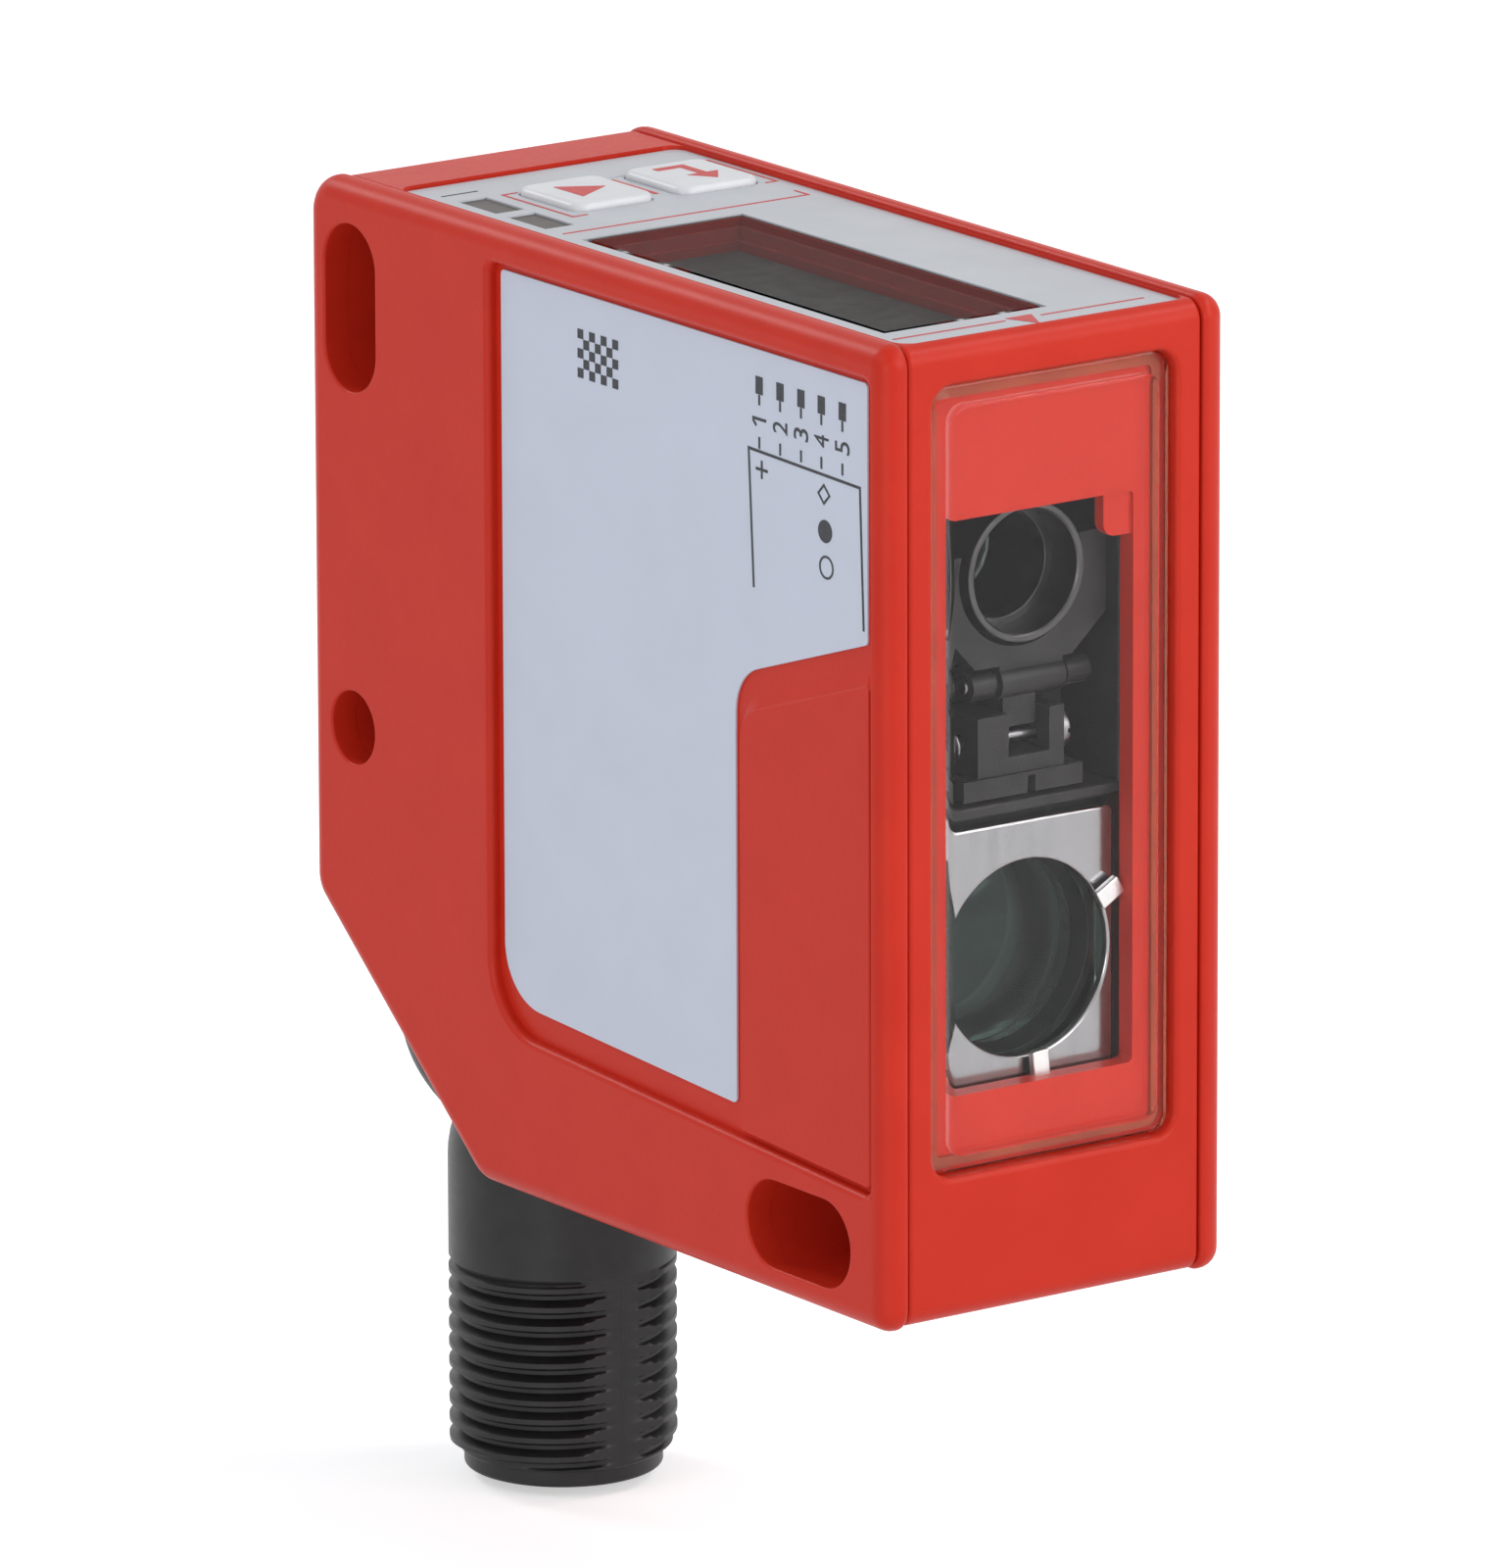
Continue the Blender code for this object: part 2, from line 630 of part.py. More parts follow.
def display_outline(step=0.0):
    centre = (across(DISPLAY_ACROSS) + DISPLAY_WIDTH / 2, behind(DISPLAY_BEHIND) + DISPLAY_LENGTH / 2)
    return inset(oblong(centre, DISPLAY_WIDTH, DISPLAY_LENGTH, 0.0), step)


def key_outline(key_across, step=0.0):
    centre = (across(key_across), behind(KEY_BEHIND))
    return inset(oblong(centre, KEY_WIDTH, KEY_LENGTH, KEY_CORNER), step)


def light_outline(light_behind, step=0.0):
    centre = (across(LIGHT_ACROSS), behind(light_behind))
    return inset(oblong(centre, LIGHT_WIDTH, LIGHT_LENGTH, 0.0), step)


def panel_holes(name, low, high):
    """Cutters for the keys and the status lights that show through the top, with a running gap."""
    outlines = [key_outline(key, -SEAT_GAP) for key in (UP_KEY_ACROSS, SELECT_KEY_ACROSS)]
    outlines += [light_outline(light, -SEAT_GAP) for light in (FRONT_LIGHT_BEHIND, REAR_LIGHT_BEHIND)]
    return [slab(name, [corners], low, high, "top") for corners in outlines]


def frame_ledges():
    """Two ledges that the display board rests on, one on the front wall and one on the slot's boss."""
    high = below(LEDGE_TOP)
    low = high - LEDGE_THICKNESS
    left, right = across(DISPLAY_BOARD_MARGIN), -DISPLAY_BOARD_MARGIN
    wall, boss = behind(FRONT_WALL), behind(BOSS_FRONT)
    return [
        block("front_ledge", (left, wall - OVERLAP, low), (right, wall + LEDGE_DEPTH, high)),
        block("rear_ledge", (left, boss - LEDGE_DEPTH, low), (right, boss + OVERLAP, high)),
    ]


def opening_tab():
    """The small rounded tab in the upper right corner of the opening behind the window."""
    right = MID_X + OPENING_WIDTH / 2
    top = below(OPENING_BELOW)
    corners = [
        (right - OPENING_TAB_WIDTH, top - OPENING_TAB_HEIGHT, OPENING_TAB_WIDTH / 3),
        (right + OVERLAP, top - OPENING_TAB_HEIGHT, 0.0),
        (right + OVERLAP, top + OVERLAP, 0.0),
        (right - OPENING_TAB_WIDTH, top + OVERLAP, 0.0),
    ]
    front, back = behind(WINDOW_DEPTH + TAB_SETBACK), behind(FRONT_WALL - TAB_SETBACK)
    return slab("opening_tab", [corners], front, back, "front")


def housing_frame(finish, holes):
    """The middle of the housing: five walls round the works, open to both sides under the covers."""
    walls = [inset(side_outline(), FRAME_STEP), cavity_outline()]
    frame = slab("housing_frame", walls, FRAME_LEFT, FRAME_RIGHT, "side")
    for name, corners in mounting_outlines(BOSS_WALL).items():
        join(frame, slab(name + "_boss", [corners], FRAME_LEFT, FRAME_RIGHT, "side"))
    join(frame, *frame_ledges())
    for hole in holes:
        cut(frame, hole)

    wall_low, wall_high = below(TOP_WALL) - THROUGH, TOP_Z + THROUGH
    foil_low = (FRAME_LEFT - THROUGH, behind(FOIL_FRONT), below(FOIL_FLOOR))
    cut(frame, block("foil_recess", foil_low, (FRAME_RIGHT + THROUGH, behind(FOIL_REAR), wall_high)))
    cut(frame, slab("display_opening", [display_outline()], below(PANE_SEAT), wall_high, "top"))
    cut(frame, slab("display_hole", [display_outline(DISPLAY_LEDGE)], wall_low, wall_high, "top"))
    for hole in panel_holes("panel_hole", wall_low, wall_high):
        cut(frame, hole)

    outside, inside = FRONT_Y - THROUGH, behind(FRONT_WALL) + THROUGH
    cut(frame, slab("window_recess", [window_outline()], outside, behind(WINDOW_DEPTH), "front"))
    opening_centre = (MID_X, below(OPENING_BELOW + OPENING_HEIGHT / 2))
    opening = oblong(opening_centre, OPENING_WIDTH, OPENING_HEIGHT, OPENING_CORNER)
    cut(frame, slab("window_opening", [opening], outside, inside, "front"))
    groove = [window_outline(SEAL_INSET - SEAL_GAP), window_outline(SEAL_INSET + SEAL_WIDTH + SEAL_GAP)]
    cut(frame, slab("seal_groove", groove, FRONT_Y, behind(WINDOW_DEPTH + SEAL_GROOVE_DEPTH), "front"))
    join(frame, opening_tab())
    clip_room = APERTURE_RADIUS - LENS_CLIP_OVERHANG + LENS_CLIP_LENGTH + SEAT_GAP
    room_front = behind(OPTICS_FRONT - LENS_CLIP_THICKNESS - 2 * SEAT_GAP)
    lens_z = below(LENS_BELOW)
    cut(frame, rod("clip_room", clip_room, (MID_X, room_front, lens_z), (MID_X, inside, lens_z)))

    bore_ends = on_axis(SWIVEL_PLACE, -CHAMFER_WALL - THROUGH), on_axis(SWIVEL_PLACE, THROUGH)
    cut(frame, rod("swivel_bore", NECK_RADIUS + SEAT_GAP, *bore_ends))
    return piece(frame, finish)


def cover_lip(name, low, high):
    """The rim inside a cover that locates it in the frame, open round the mounting bosses."""
    cavity = cavity_outline()
    lip = slab(name, [inset(cavity, SEAT_GAP), inset(cavity, SEAT_GAP + LIP_THICKNESS)], low, high, "side")
    for boss, corners in mounting_outlines(BOSS_WALL + SEAT_GAP).items():
        cut(lip, slab(boss + "_room", [corners], low - THROUGH, high + THROUGH, "side"))
    return lip


def recess_bottom(distance):
    """How far below the top the label recess ends, at this distance behind the front."""
    share = (distance - LABEL_RECESS_FRONT) / (LABEL_RECESS_REAR - LABEL_RECESS_FRONT)
    return LABEL_RECESS_BOTTOM_FRONT + share * (LABEL_RECESS_BOTTOM_REAR - LABEL_RECESS_BOTTOM_FRONT)


def step_below(distance):
    """How far below the top the label's slanted step lies, at this distance behind the front."""
    return LABEL_STEP_BELOW + (distance - LABEL_RECESS_FRONT) * math.tan(LABEL_STEP_SLOPE)


def label_recess():
    front, rear = behind(LABEL_RECESS_FRONT), behind(LABEL_RECESS_REAR)
    corners = [
        (front, below(LABEL_RECESS_BOTTOM_FRONT), LABEL_MARGIN),
        (rear, below(LABEL_RECESS_BOTTOM_REAR), LABEL_RECESS_CORNER),
        (rear, below(LABEL_RECESS_TOP), LABEL_MARGIN),
        (front, below(LABEL_RECESS_TOP), LABEL_MARGIN),
    ]
    return slab("label_recess", [corners], -WIDTH - THROUGH, across(LABEL_RECESS_DEPTH), "side")


def label_pad():
    """The raised field under the label's step."""
    front = LABEL_RECESS_FRONT + LABEL_MARGIN / 2
    rear = LABEL_STEP_BEHIND - PAD_GAP / 2
    drop = PAD_GAP / math.cos(LABEL_STEP_SLOPE)
    corners = [
        (behind(front), below(recess_bottom(front) - LABEL_MARGIN / 2), 0.0),
        (behind(rear), below(recess_bottom(rear) - LABEL_MARGIN / 2), 0.0),
        (behind(rear), below(step_below(rear) + drop), LABEL_STEP_CORNER / 2),
        (behind(front), below(step_below(front) + drop), 0.0),
    ]
    return slab("label_pad", [corners], across(LABEL_RECESS_DEPTH - PAD_RISE),
                across(LABEL_RECESS_DEPTH + OVERLAP), "side")


def left_cover(finish, holes):
    """The side cover that carries the label."""
    cover = slab("left_cover", [side_outline()], -WIDTH, across(COVER_THICKNESS), "side")
    round_rim(cover, "side", -WIDTH, COVER_EDGE_RADIUS)
    cut(cover, label_recess())
    join(cover, label_pad())
    lip_low, lip_high = across(COVER_THICKNESS - OVERLAP), across(COVER_THICKNESS + LIP_HEIGHT)
    join(cover, cover_lip("left_lip", lip_low, lip_high))
    for hole in holes:
        cut(cover, hole)
    return piece(cover, finish)


def right_cover(finish, holes):
    """The plain side cover that lies against the bracket, with standoffs for the main board."""
    cover = slab("right_cover", [side_outline()], -COVER_THICKNESS, 0.0, "side")
    round_rim(cover, "side", 0.0, COVER_EDGE_RADIUS)
    inner = OVERLAP - COVER_THICKNESS
    join(cover, cover_lip("right_lip", -COVER_THICKNESS - LIP_HEIGHT, inner))
    top = -COVER_THICKNESS - STANDOFF_HEIGHT
    for y, z in standoff_places():
        join(cover, rod("standoff", STANDOFF_RADIUS, (top, y, z), (inner, y, z), SMALL_SIDES))
    for hole in holes:
        cut(cover, hole)
    return piece(cover, finish)


def standoff_places():
    """Where the main board rests, near its corners."""
    edge = 2 * STANDOFF_RADIUS
    rows = (behind(MAIN_BOARD_FRONT + edge), behind(MAIN_BOARD_REAR - edge))
    levels = (below(MAIN_BOARD_TOP + edge), below(MAIN_BOARD_BOTTOM - edge))
    return [(y, z) for y in rows for z in levels]


def side_label(finish):
    """The pale foil in the label recess, with a step over the raised field."""
    front = LABEL_RECESS_FRONT + LABEL_MARGIN
    rear = LABEL_RECESS_REAR - LABEL_MARGIN
    step = LABEL_STEP_BEHIND
    edge = LABEL_MARGIN / 2
    top = below(LABEL_RECESS_TOP + edge)
    step_bottom = below(recess_bottom(step) - LABEL_BOTTOM_MARGIN)
    rear_bottom = below(recess_bottom(rear) - LABEL_BOTTOM_MARGIN)
    corners = [
        (behind(step), step_bottom, edge),
        (behind(rear), rear_bottom, LABEL_RECESS_CORNER - LABEL_MARGIN),
        (behind(rear), top, edge),
        (behind(front), top, edge),
        (behind(front), below(step_below(front)), edge),
        (behind(step), below(step_below(step)), LABEL_STEP_CORNER),
    ]
    floor = LABEL_RECESS_DEPTH - SEAT_GAP
    label = slab("side_label", [corners], across(floor - LABEL_THICKNESS), across(floor), "side")
    return piece(label, finish)


def front_window(finish):
    """The clear flanged plate in the front recess."""
    flange_front = PANE_BELOW + PANE_RISE
    flange_back = flange_front + WINDOW_FLANGE
    front, back = behind(flange_front), behind(flange_back)
    window = slab("front_window", [window_outline(SEAT_GAP)], front, back, "front")
    pane_front, pane_back = behind(PANE_BELOW), (front + back) / 2
    pane = slab("window_pane", [window_outline(PANE_STEP)], pane_front, pane_back, "front")
    round_rim(pane, "front", pane_front, PANE_RISE / 2, 2)
    return piece(join(window, pane), finish)


def window_seal(finish):
    """The gasket in a groove under the window's flange."""
    outlines = [window_outline(SEAL_INSET), window_outline(SEAL_INSET + SEAL_WIDTH)]
    front = PANE_BELOW + PANE_RISE + WINDOW_FLANGE + SEAL_GAP
    back = WINDOW_DEPTH + SEAL_GROOVE_DEPTH - SEAL_GAP
    return piece(slab("window_seal", outlines, behind(front), behind(back), "front"), finish)


def panel_overlay(finish):
    """The printed foil on top, open over the display, the keys and the status lights."""
    front, rear = behind(FOIL_FRONT + SEAT_GAP), behind(FOIL_REAR - SEAT_GAP)
    centre = ((FRAME_LEFT + FRAME_RIGHT) / 2, (front + rear) / 2)
    outlines = [oblong(centre, FRAME_RIGHT - FRAME_LEFT, rear - front, SEAT_GAP), display_outline()]
    outlines += [key_outline(key, -SEAT_GAP) for key in (UP_KEY_ACROSS, SELECT_KEY_ACROSS)]
    outlines += [light_outline(light, -SEAT_GAP / 2) for light in (FRONT_LIGHT_BEHIND, REAR_LIGHT_BEHIND)]
    top = below(FOIL_BELOW)
    return piece(slab("panel_overlay", outlines, top - FOIL_THICKNESS, top, "top"), finish)


def display_pane(finish):
    """The clear pane over the display, level with the foil."""
    top = below(FOIL_BELOW)
    outline = display_outline(SEAT_GAP)
    return piece(slab("display_pane", [outline], top - DISPLAY_PANE_THICKNESS, top, "top"), finish)


def display_module(finish):
    """The display under the top wall, with its raised glass in the stepped opening."""
    top = below(MODULE_BELOW)
    module = slab("display_module", [display_outline()], top - DISPLAY_MODULE_THICKNESS, top, "top")
    glass_outline = display_outline(DISPLAY_LEDGE + SEAT_GAP)
    glass = slab("display_glass", [glass_outline], top - OVERLAP, below(DISPLAY_GLASS_BELOW), "top")
    return piece(join(module, glass), finish)


def status_light(name, light_behind, finish):
    """A light guide from its lamp up to the foil, with a flange under the top wall."""
    low = below(BOARD_SEAT - LAMP_HEIGHT - SEAT_GAP)
    high = below(FOIL_BELOW + FOIL_THICKNESS / 2)
    guide = slab(name, [light_outline(light_behind)], low, high, "top")
    centre = (across(LIGHT_ACROSS), behind(light_behind))
    outline = oblong(centre, LIGHT_WIDTH + 4 * SEAT_GAP, LIGHT_LENGTH - 2 * SEAT_GAP, 0.0)
    top = below(FLANGE_BELOW)
    flange = slab(name + "_flange", [outline], top - KEY_FLANGE_THICKNESS, top, "top")
    return piece(join(guide, flange), finish)


def status_lamp(name, light_behind, finish):
    """The small lamp on the display board under a light guide."""
    x, y, low = across(LIGHT_ACROSS), behind(light_behind), below(BOARD_SEAT)
    half = Vector((LAMP_WIDTH / 2, LAMP_LENGTH / 2, LAMP_HEIGHT / 2))
    centre = Vector((x, y, low + LAMP_HEIGHT / 2))
    return piece(soften(block(name, centre - half, centre + half), LAMP_EDGE), finish)


def push_key(name, key_across, finish):
    """A raised key that slides straight down, held by a flange under the top wall."""
    top = below(FOIL_BELOW) + KEY_RISE
    guide = bpy.data.objects.new(name + "_guide", None)
    guide.location = (across(key_across), behind(KEY_BEHIND), top)
    bpy.data.collections[PARTS_NAME].objects.link(guide)
    bpy.context.view_layer.update()
    flange_top = below(FLANGE_BELOW)
    flange_low = flange_top - KEY_FLANGE_THICKNESS
    key = slab(name, [key_outline(key_across)], (flange_low + flange_top) / 2, top, "top")
    round_rim(key, "top", top, KEY_RISE / 2, 2)
    flange = slab(name + "_flange", [key_outline(key_across, -KEY_FLANGE)], flange_low, flange_top, "top")
    return piece(join(key, flange), finish, guide)


def key_switch(name, key_across, finish):
    """The switch under a key, whose stub stands just below the pressed key."""
    x, y = across(key_across), behind(KEY_BEHIND)
    half = SWITCH_SIZE / 2
    low = below(BOARD_SEAT)
    body_top = low + SWITCH_BODY_HEIGHT
    stub_top = below(FLANGE_BELOW + KEY_FLANGE_THICKNESS + KEY_TRAVEL + STUB_GAP)
    body = soften(block(name, (x - half, y - half, low), (x + half, y + half, body_top)), SWITCH_EDGE)
    stub_ends = (x, y, body_top - OVERLAP), (x, y, stub_top)
    join(body, rod(name + "_stub", SWITCH_STUB_RADIUS, *stub_ends, SMALL_SIDES))
    return piece(body, finish)


def display_board(finish):
    left, right = across(DISPLAY_BOARD_MARGIN), -DISPLAY_BOARD_MARGIN
    front, rear = behind(DISPLAY_BOARD_FRONT), behind(BOSS_FRONT - 3 * SEAT_GAP)
    centre = ((left + right) / 2, (front + rear) / 2)
    outline = oblong(centre, right - left, rear - front, BOARD_CORNER)
    top = below(BOARD_BELOW)
    return piece(slab("display_board", [outline], top - BOARD_THICKNESS, top, "top"), finish)


def main_board(finish):
    front, rear = behind(MAIN_BOARD_FRONT), behind(MAIN_BOARD_REAR)
    top, bottom = below(MAIN_BOARD_TOP), below(MAIN_BOARD_BOTTOM)
    outline = oblong(((front + rear) / 2, (top + bottom) / 2), rear - front, top - bottom, BOARD_CORNER)
    face = MAIN_BOARD_FACE
    return piece(slab("main_board", [outline], face, face + BOARD_THICKNESS, "side"), finish)


def board_chip(name, chip_below, size, finish):
    """A packaged chip on the main board's inner face."""
    length, height, thickness = size
    right = MAIN_BOARD_FACE - SEAT_GAP
    left = right - thickness
    y, z = behind(CHIP_COLUMN), below(chip_below)
    half_length, half_height = length / 2, height / 2
    chip = block(name, (left, y - half_length, z - half_height), (right, y + half_length, z + half_height))
    return piece(soften(chip, CHIP_EDGE, 1), finish)


def board_link(finish):
    """The angled header that joins the display board to the main board."""
    top = below(LEDGE_TOP)
    right = MAIN_BOARD_FACE - SEAT_GAP
    left = right - LINK_WIDTH
    middle = (left + right) / 2
    front, rear = behind(LINK_REAR - LINK_LENGTH), behind(LINK_REAR)
    foot = block("board_link", (middle, front, below(MAIN_BOARD_TOP + LINK_REACH)), (right, rear, top))
    shelf = block("link_shelf", (left, front, top - LINK_WIDTH / 2), (middle + OVERLAP, rear, top))
    return piece(join(foot, shelf), finish)


def optics_carrier(finish):
    """The black chassis: an open chamber for the laser above a bored block for the receiver lens."""
    left, right = MID_X - CARRIER_WIDTH / 2, MID_X + CARRIER_WIDTH / 2
    front = behind(OPTICS_FRONT)
    back = front + CHAMBER_DEPTH
    floor, top = below(CARRIER_WEB), below(CARRIER_TOP)
    chamber = block("optics_carrier", (left, front, floor - CARRIER_FLOOR), (right, back, top))
    lens_front, lens_back = behind(LENS_SEAT), behind(RECEIVER_BOARD_FRONT)
    lens_low = (left, lens_front, below(CARRIER_BOTTOM))
    join(chamber, block("lens_block", lens_low, (right, lens_back - SEAT_GAP, below(LENS_BLOCK_BELOW))))
    hollow_low = (left + CARRIER_WALL, front - THROUGH, floor)
    hollow_high = (right - CARRIER_WALL, back - CARRIER_WALL, top - CARRIER_WALL)
    cut(chamber, block("chamber_hollow", hollow_low, hollow_high))
    lens_z, laser_z = below(LENS_BELOW), below(LASER_BELOW)
    lens_ends = (MID_X, lens_front - THROUGH, lens_z), (MID_X, lens_back + THROUGH, lens_z)
    cut(chamber, rod("lens_bore", BARREL_RADIUS + SEAT_GAP, *lens_ends))
    laser_ends = (MID_X, back - CARRIER_WALL - THROUGH, laser_z), (MID_X, back + THROUGH, laser_z)
    cut(chamber, rod("laser_bore", LASER_TUBE_RADIUS + SEAT_GAP, *laser_ends))
    return piece(chamber, finish)


def beam_place(depth, drop):
    """A frame whose Z points out of the window, at this depth and this far below the top."""
    return Matrix.Translation((MID_X, behind(depth), below(drop))) @ FRONT_PLACE


def laser_tube(finish):
    """The round holder of the laser, open at both ends."""
    outer, bore, back, rim = LASER_TUBE_RADIUS, LASER_TUBE_BORE, -LASER_TUBE_LENGTH, SEAT_GAP
    profile = [(outer - rim, 0), (outer, -rim), (outer, back), (bore, back), (bore, -rim), (bore + rim, 0)]
    return piece(turned("laser_tube", profile, beam_place(OPTICS_FRONT, LASER_BELOW), True), finish)


def lens_profile(radius, front, back, sag):
    """A lens with a domed front and a flat back, as a profile down its outer side."""
    shares = [step / DOME_STEPS for step in range(DOME_STEPS + 1)]
    dome = [(radius * share, front - sag * share ** 2) for share in shares]
    return dome + [(radius, back), (0, back)]


def collimator_lens(finish):
    front = -COLLIMATOR_DEPTH
    back = front - COLLIMATOR_THICKNESS
    profile = lens_profile(LASER_TUBE_BORE - SEAT_GAP, front, back, COLLIMATOR_SAG)
    return piece(turned("collimator_lens", profile, beam_place(OPTICS_FRONT, LASER_BELOW)), finish)


def laser_diode(finish):
    """The laser in its round can, with a flange and three leads."""
    place = beam_place(OPTICS_FRONT, LASER_BELOW)
    can, flange = DIODE_CAN_RADIUS, LASER_TUBE_BORE - SEAT_GAP
    seat = -DIODE_DEPTH
    front, back = seat + DIODE_CAN_HEIGHT, seat - DIODE_FLANGE_THICKNESS
    profile = [(0, front), (can, front), (can, seat), (flange, seat), (flange, back), (0, back)]
    diode = turned("laser_diode", profile, place)
    for turn in range(3):
        offset = Matrix.Rotation(math.radians(120 * turn), 3, "Z") @ Vector((DIODE_LEAD_CIRCLE, 0, 0))
        start = place @ (offset + Vector((0, 0, back + OVERLAP)))
        end = place @ (offset + Vector((0, 0, back - DIODE_LEAD_LENGTH)))
        join(diode, rod("diode_lead", DIODE_LEAD_RADIUS, start, end, SMALL_SIDES // 2))
    return piece(diode, finish)


def hinge_cutter():
    """The bore for the hinge pin, through the yoke's barrel and the base's knuckles."""
    y, z = behind(HINGE_BEHIND), below(HINGE_BELOW)
    ends = (MID_X - YOKE_WIDTH, y, z), (MID_X + YOKE_WIDTH, y, z)
    return rod("hinge_bore", HINGE_PIN_RADIUS + PIN_GAP, *ends, SMALL_SIDES)


def tube_yoke(finish, hinge_bore):
    """The forked holder round the laser tube, with its hinge barrel and the tongue below."""
    front = behind(HINGE_BEHIND) - YOKE_THICKNESS / 2
    back = front + YOKE_THICKNESS
    foot_z, shoulder_z, arm_z = below(YOKE_FOOT_BELOW), below(YOKE_SHOULDER_BELOW), below(YOKE_ARM_TOP)
    arm, foot = YOKE_WIDTH / 2, YOKE_FOOT_WIDTH / 2
    right_side = [(foot, foot_z), (arm, shoulder_z), (arm, arm_z)]
    corners = [(MID_X + x, z, 0.0) for x, z in right_side]
    corners += [(MID_X - x, z, 0.0) for x, z in reversed(right_side)]
    yoke = slab("tube_yoke", [corners], front, back, "front")

    y, z = behind(HINGE_BEHIND), below(HINGE_BELOW)
    left, right = HINGE_LEFT, HINGE_LEFT + HINGE_LENGTH
    near, far = y - HINGE_NECK_HALF, y + HINGE_NECK_HALF
    join(yoke, block("hinge_neck", (left, near, z), (right, far, foot_z + OVERLAP)))
    join(yoke, rod("hinge_barrel", HINGE_RADIUS, (left, y, z), (right, y, z)))
    tongue_low = (TONGUE_LEFT, near, below(TONGUE_BELOW))
    join(yoke, block("hinge_tongue", tongue_low, (TONGUE_LEFT + TONGUE_WIDTH, far, z)))
    tube_z = below(LASER_BELOW)
    room_ends = (MID_X, front - THROUGH, tube_z), (MID_X, back + THROUGH, tube_z)
    cut(yoke, rod("tube_room", LASER_TUBE_RADIUS + SEAT_GAP, *room_ends))
    cut(yoke, hinge_bore)
    return piece(yoke, finish)


def yoke_pin(finish):
    """The cross pin of the hinge, from the outside of one knuckle to the other's."""
    reach = KNUCKLE_LENGTH + 2 * SEAT_GAP
    left, right = HINGE_LEFT - reach, HINGE_LEFT + HINGE_LENGTH + reach
    y, z = behind(HINGE_BEHIND), below(HINGE_BELOW)
    return piece(rod("yoke_pin", HINGE_PIN_RADIUS, (left, y, z), (right, y, z), SMALL_SIDES), finish)


def yoke_base(finish, hinge_bore):
    """The notched block on the chamber's floor, with the knuckles that hold the hinge pin."""
    left, right = MID_X - YOKE_BASE_WIDTH / 2, MID_X + YOKE_BASE_WIDTH / 2
    floor = below(CARRIER_WEB) + SEAT_GAP
    top = below(YOKE_BASE_TOP)
    y, z = behind(HINGE_BEHIND), below(HINGE_BELOW)
    front = y - YOKE_THICKNESS / 2
    plate_front = y + YOKE_THICKNESS / 2 + SEAT_GAP
    plate_back = plate_front + BASE_PLATE_THICKNESS
    base = block("yoke_base", (left, front, floor), (right, plate_back, top))

    left_knuckle = HINGE_LEFT - SEAT_GAP - KNUCKLE_LENGTH
    right_knuckle = HINGE_LEFT + HINGE_LENGTH + SEAT_GAP
    plate_low = (left_knuckle, plate_front, floor + OVERLAP)
    plate_high = (right_knuckle + KNUCKLE_LENGTH, plate_back - OVERLAP / 4, z + HINGE_RADIUS)
    join(base, block("base_plate", plate_low, plate_high))
    foot_low = (left - BASE_FOOT_REACH, front - OVERLAP / 2, floor - OVERLAP / 8)
    foot_high = (right + BASE_FOOT_REACH, plate_back + OVERLAP, floor + BASE_FOOT_HEIGHT)
    join(base, block("base_foot", foot_low, foot_high))
    for start in (left_knuckle, right_knuckle):
        end = start + KNUCKLE_LENGTH
        web_low = (start, y, z - KNUCKLE_WEB_HALF)
        join(base, block("knuckle_web", web_low, (end, plate_front + OVERLAP, z + KNUCKLE_WEB_HALF)))
        join(base, rod("knuckle", KNUCKLE_RADIUS, (start, y, z), (end, y, z)))

    notch_low = (TONGUE_LEFT - SEAT_GAP, front - THROUGH, top - NOTCH_DEPTH)
    cut(base, block("notch", notch_low, (TONGUE_LEFT + TONGUE_WIDTH + SEAT_GAP, plate_front, top + THROUGH)))
    cut(base, hinge_bore)
    screw_z = below(ADJUSTER_BELOW)
    bore_ends = (MID_X - YOKE_WIDTH, y, screw_z), (MID_X + YOKE_WIDTH, y, screw_z)
    cut(base, rod("adjuster_bore", ADJUSTER_SHANK_RADIUS + PIN_GAP, *bore_ends, SMALL_SIDES))
    return piece(base, finish)


def adjusting_screw(finish):
    """The screw through the base that sets the beam, with its disc head on the right."""
    y, z = behind(HINGE_BEHIND), below(ADJUSTER_BELOW)
    head_left = MID_X + YOKE_BASE_WIDTH / 2 + SEAT_GAP
    head_right = head_left + ADJUSTER_HEAD_THICKNESS
    nut_right = MID_X - YOKE_BASE_WIDTH / 2 - ADJUSTER_SPRING_LENGTH - 2 * SEAT_GAP
    nut_left = nut_right - ADJUSTER_HEAD_THICKNESS
    place = Matrix.Translation((0, y, z)) @ Matrix.Rotation(math.radians(90), 4, "Y")
    head, nut, shank = ADJUSTER_HEAD_RADIUS, ADJUSTER_NUT_RADIUS, ADJUSTER_SHANK_RADIUS
    profile = [(0, head_right), (head, head_right), (head, head_left), (shank, head_left)]
    profile += [(shank, nut_right), (nut, nut_right), (nut, nut_left), (0, nut_left)]
    return piece(turned("adjusting_screw", profile, place, sides=2 * SMALL_SIDES), finish)


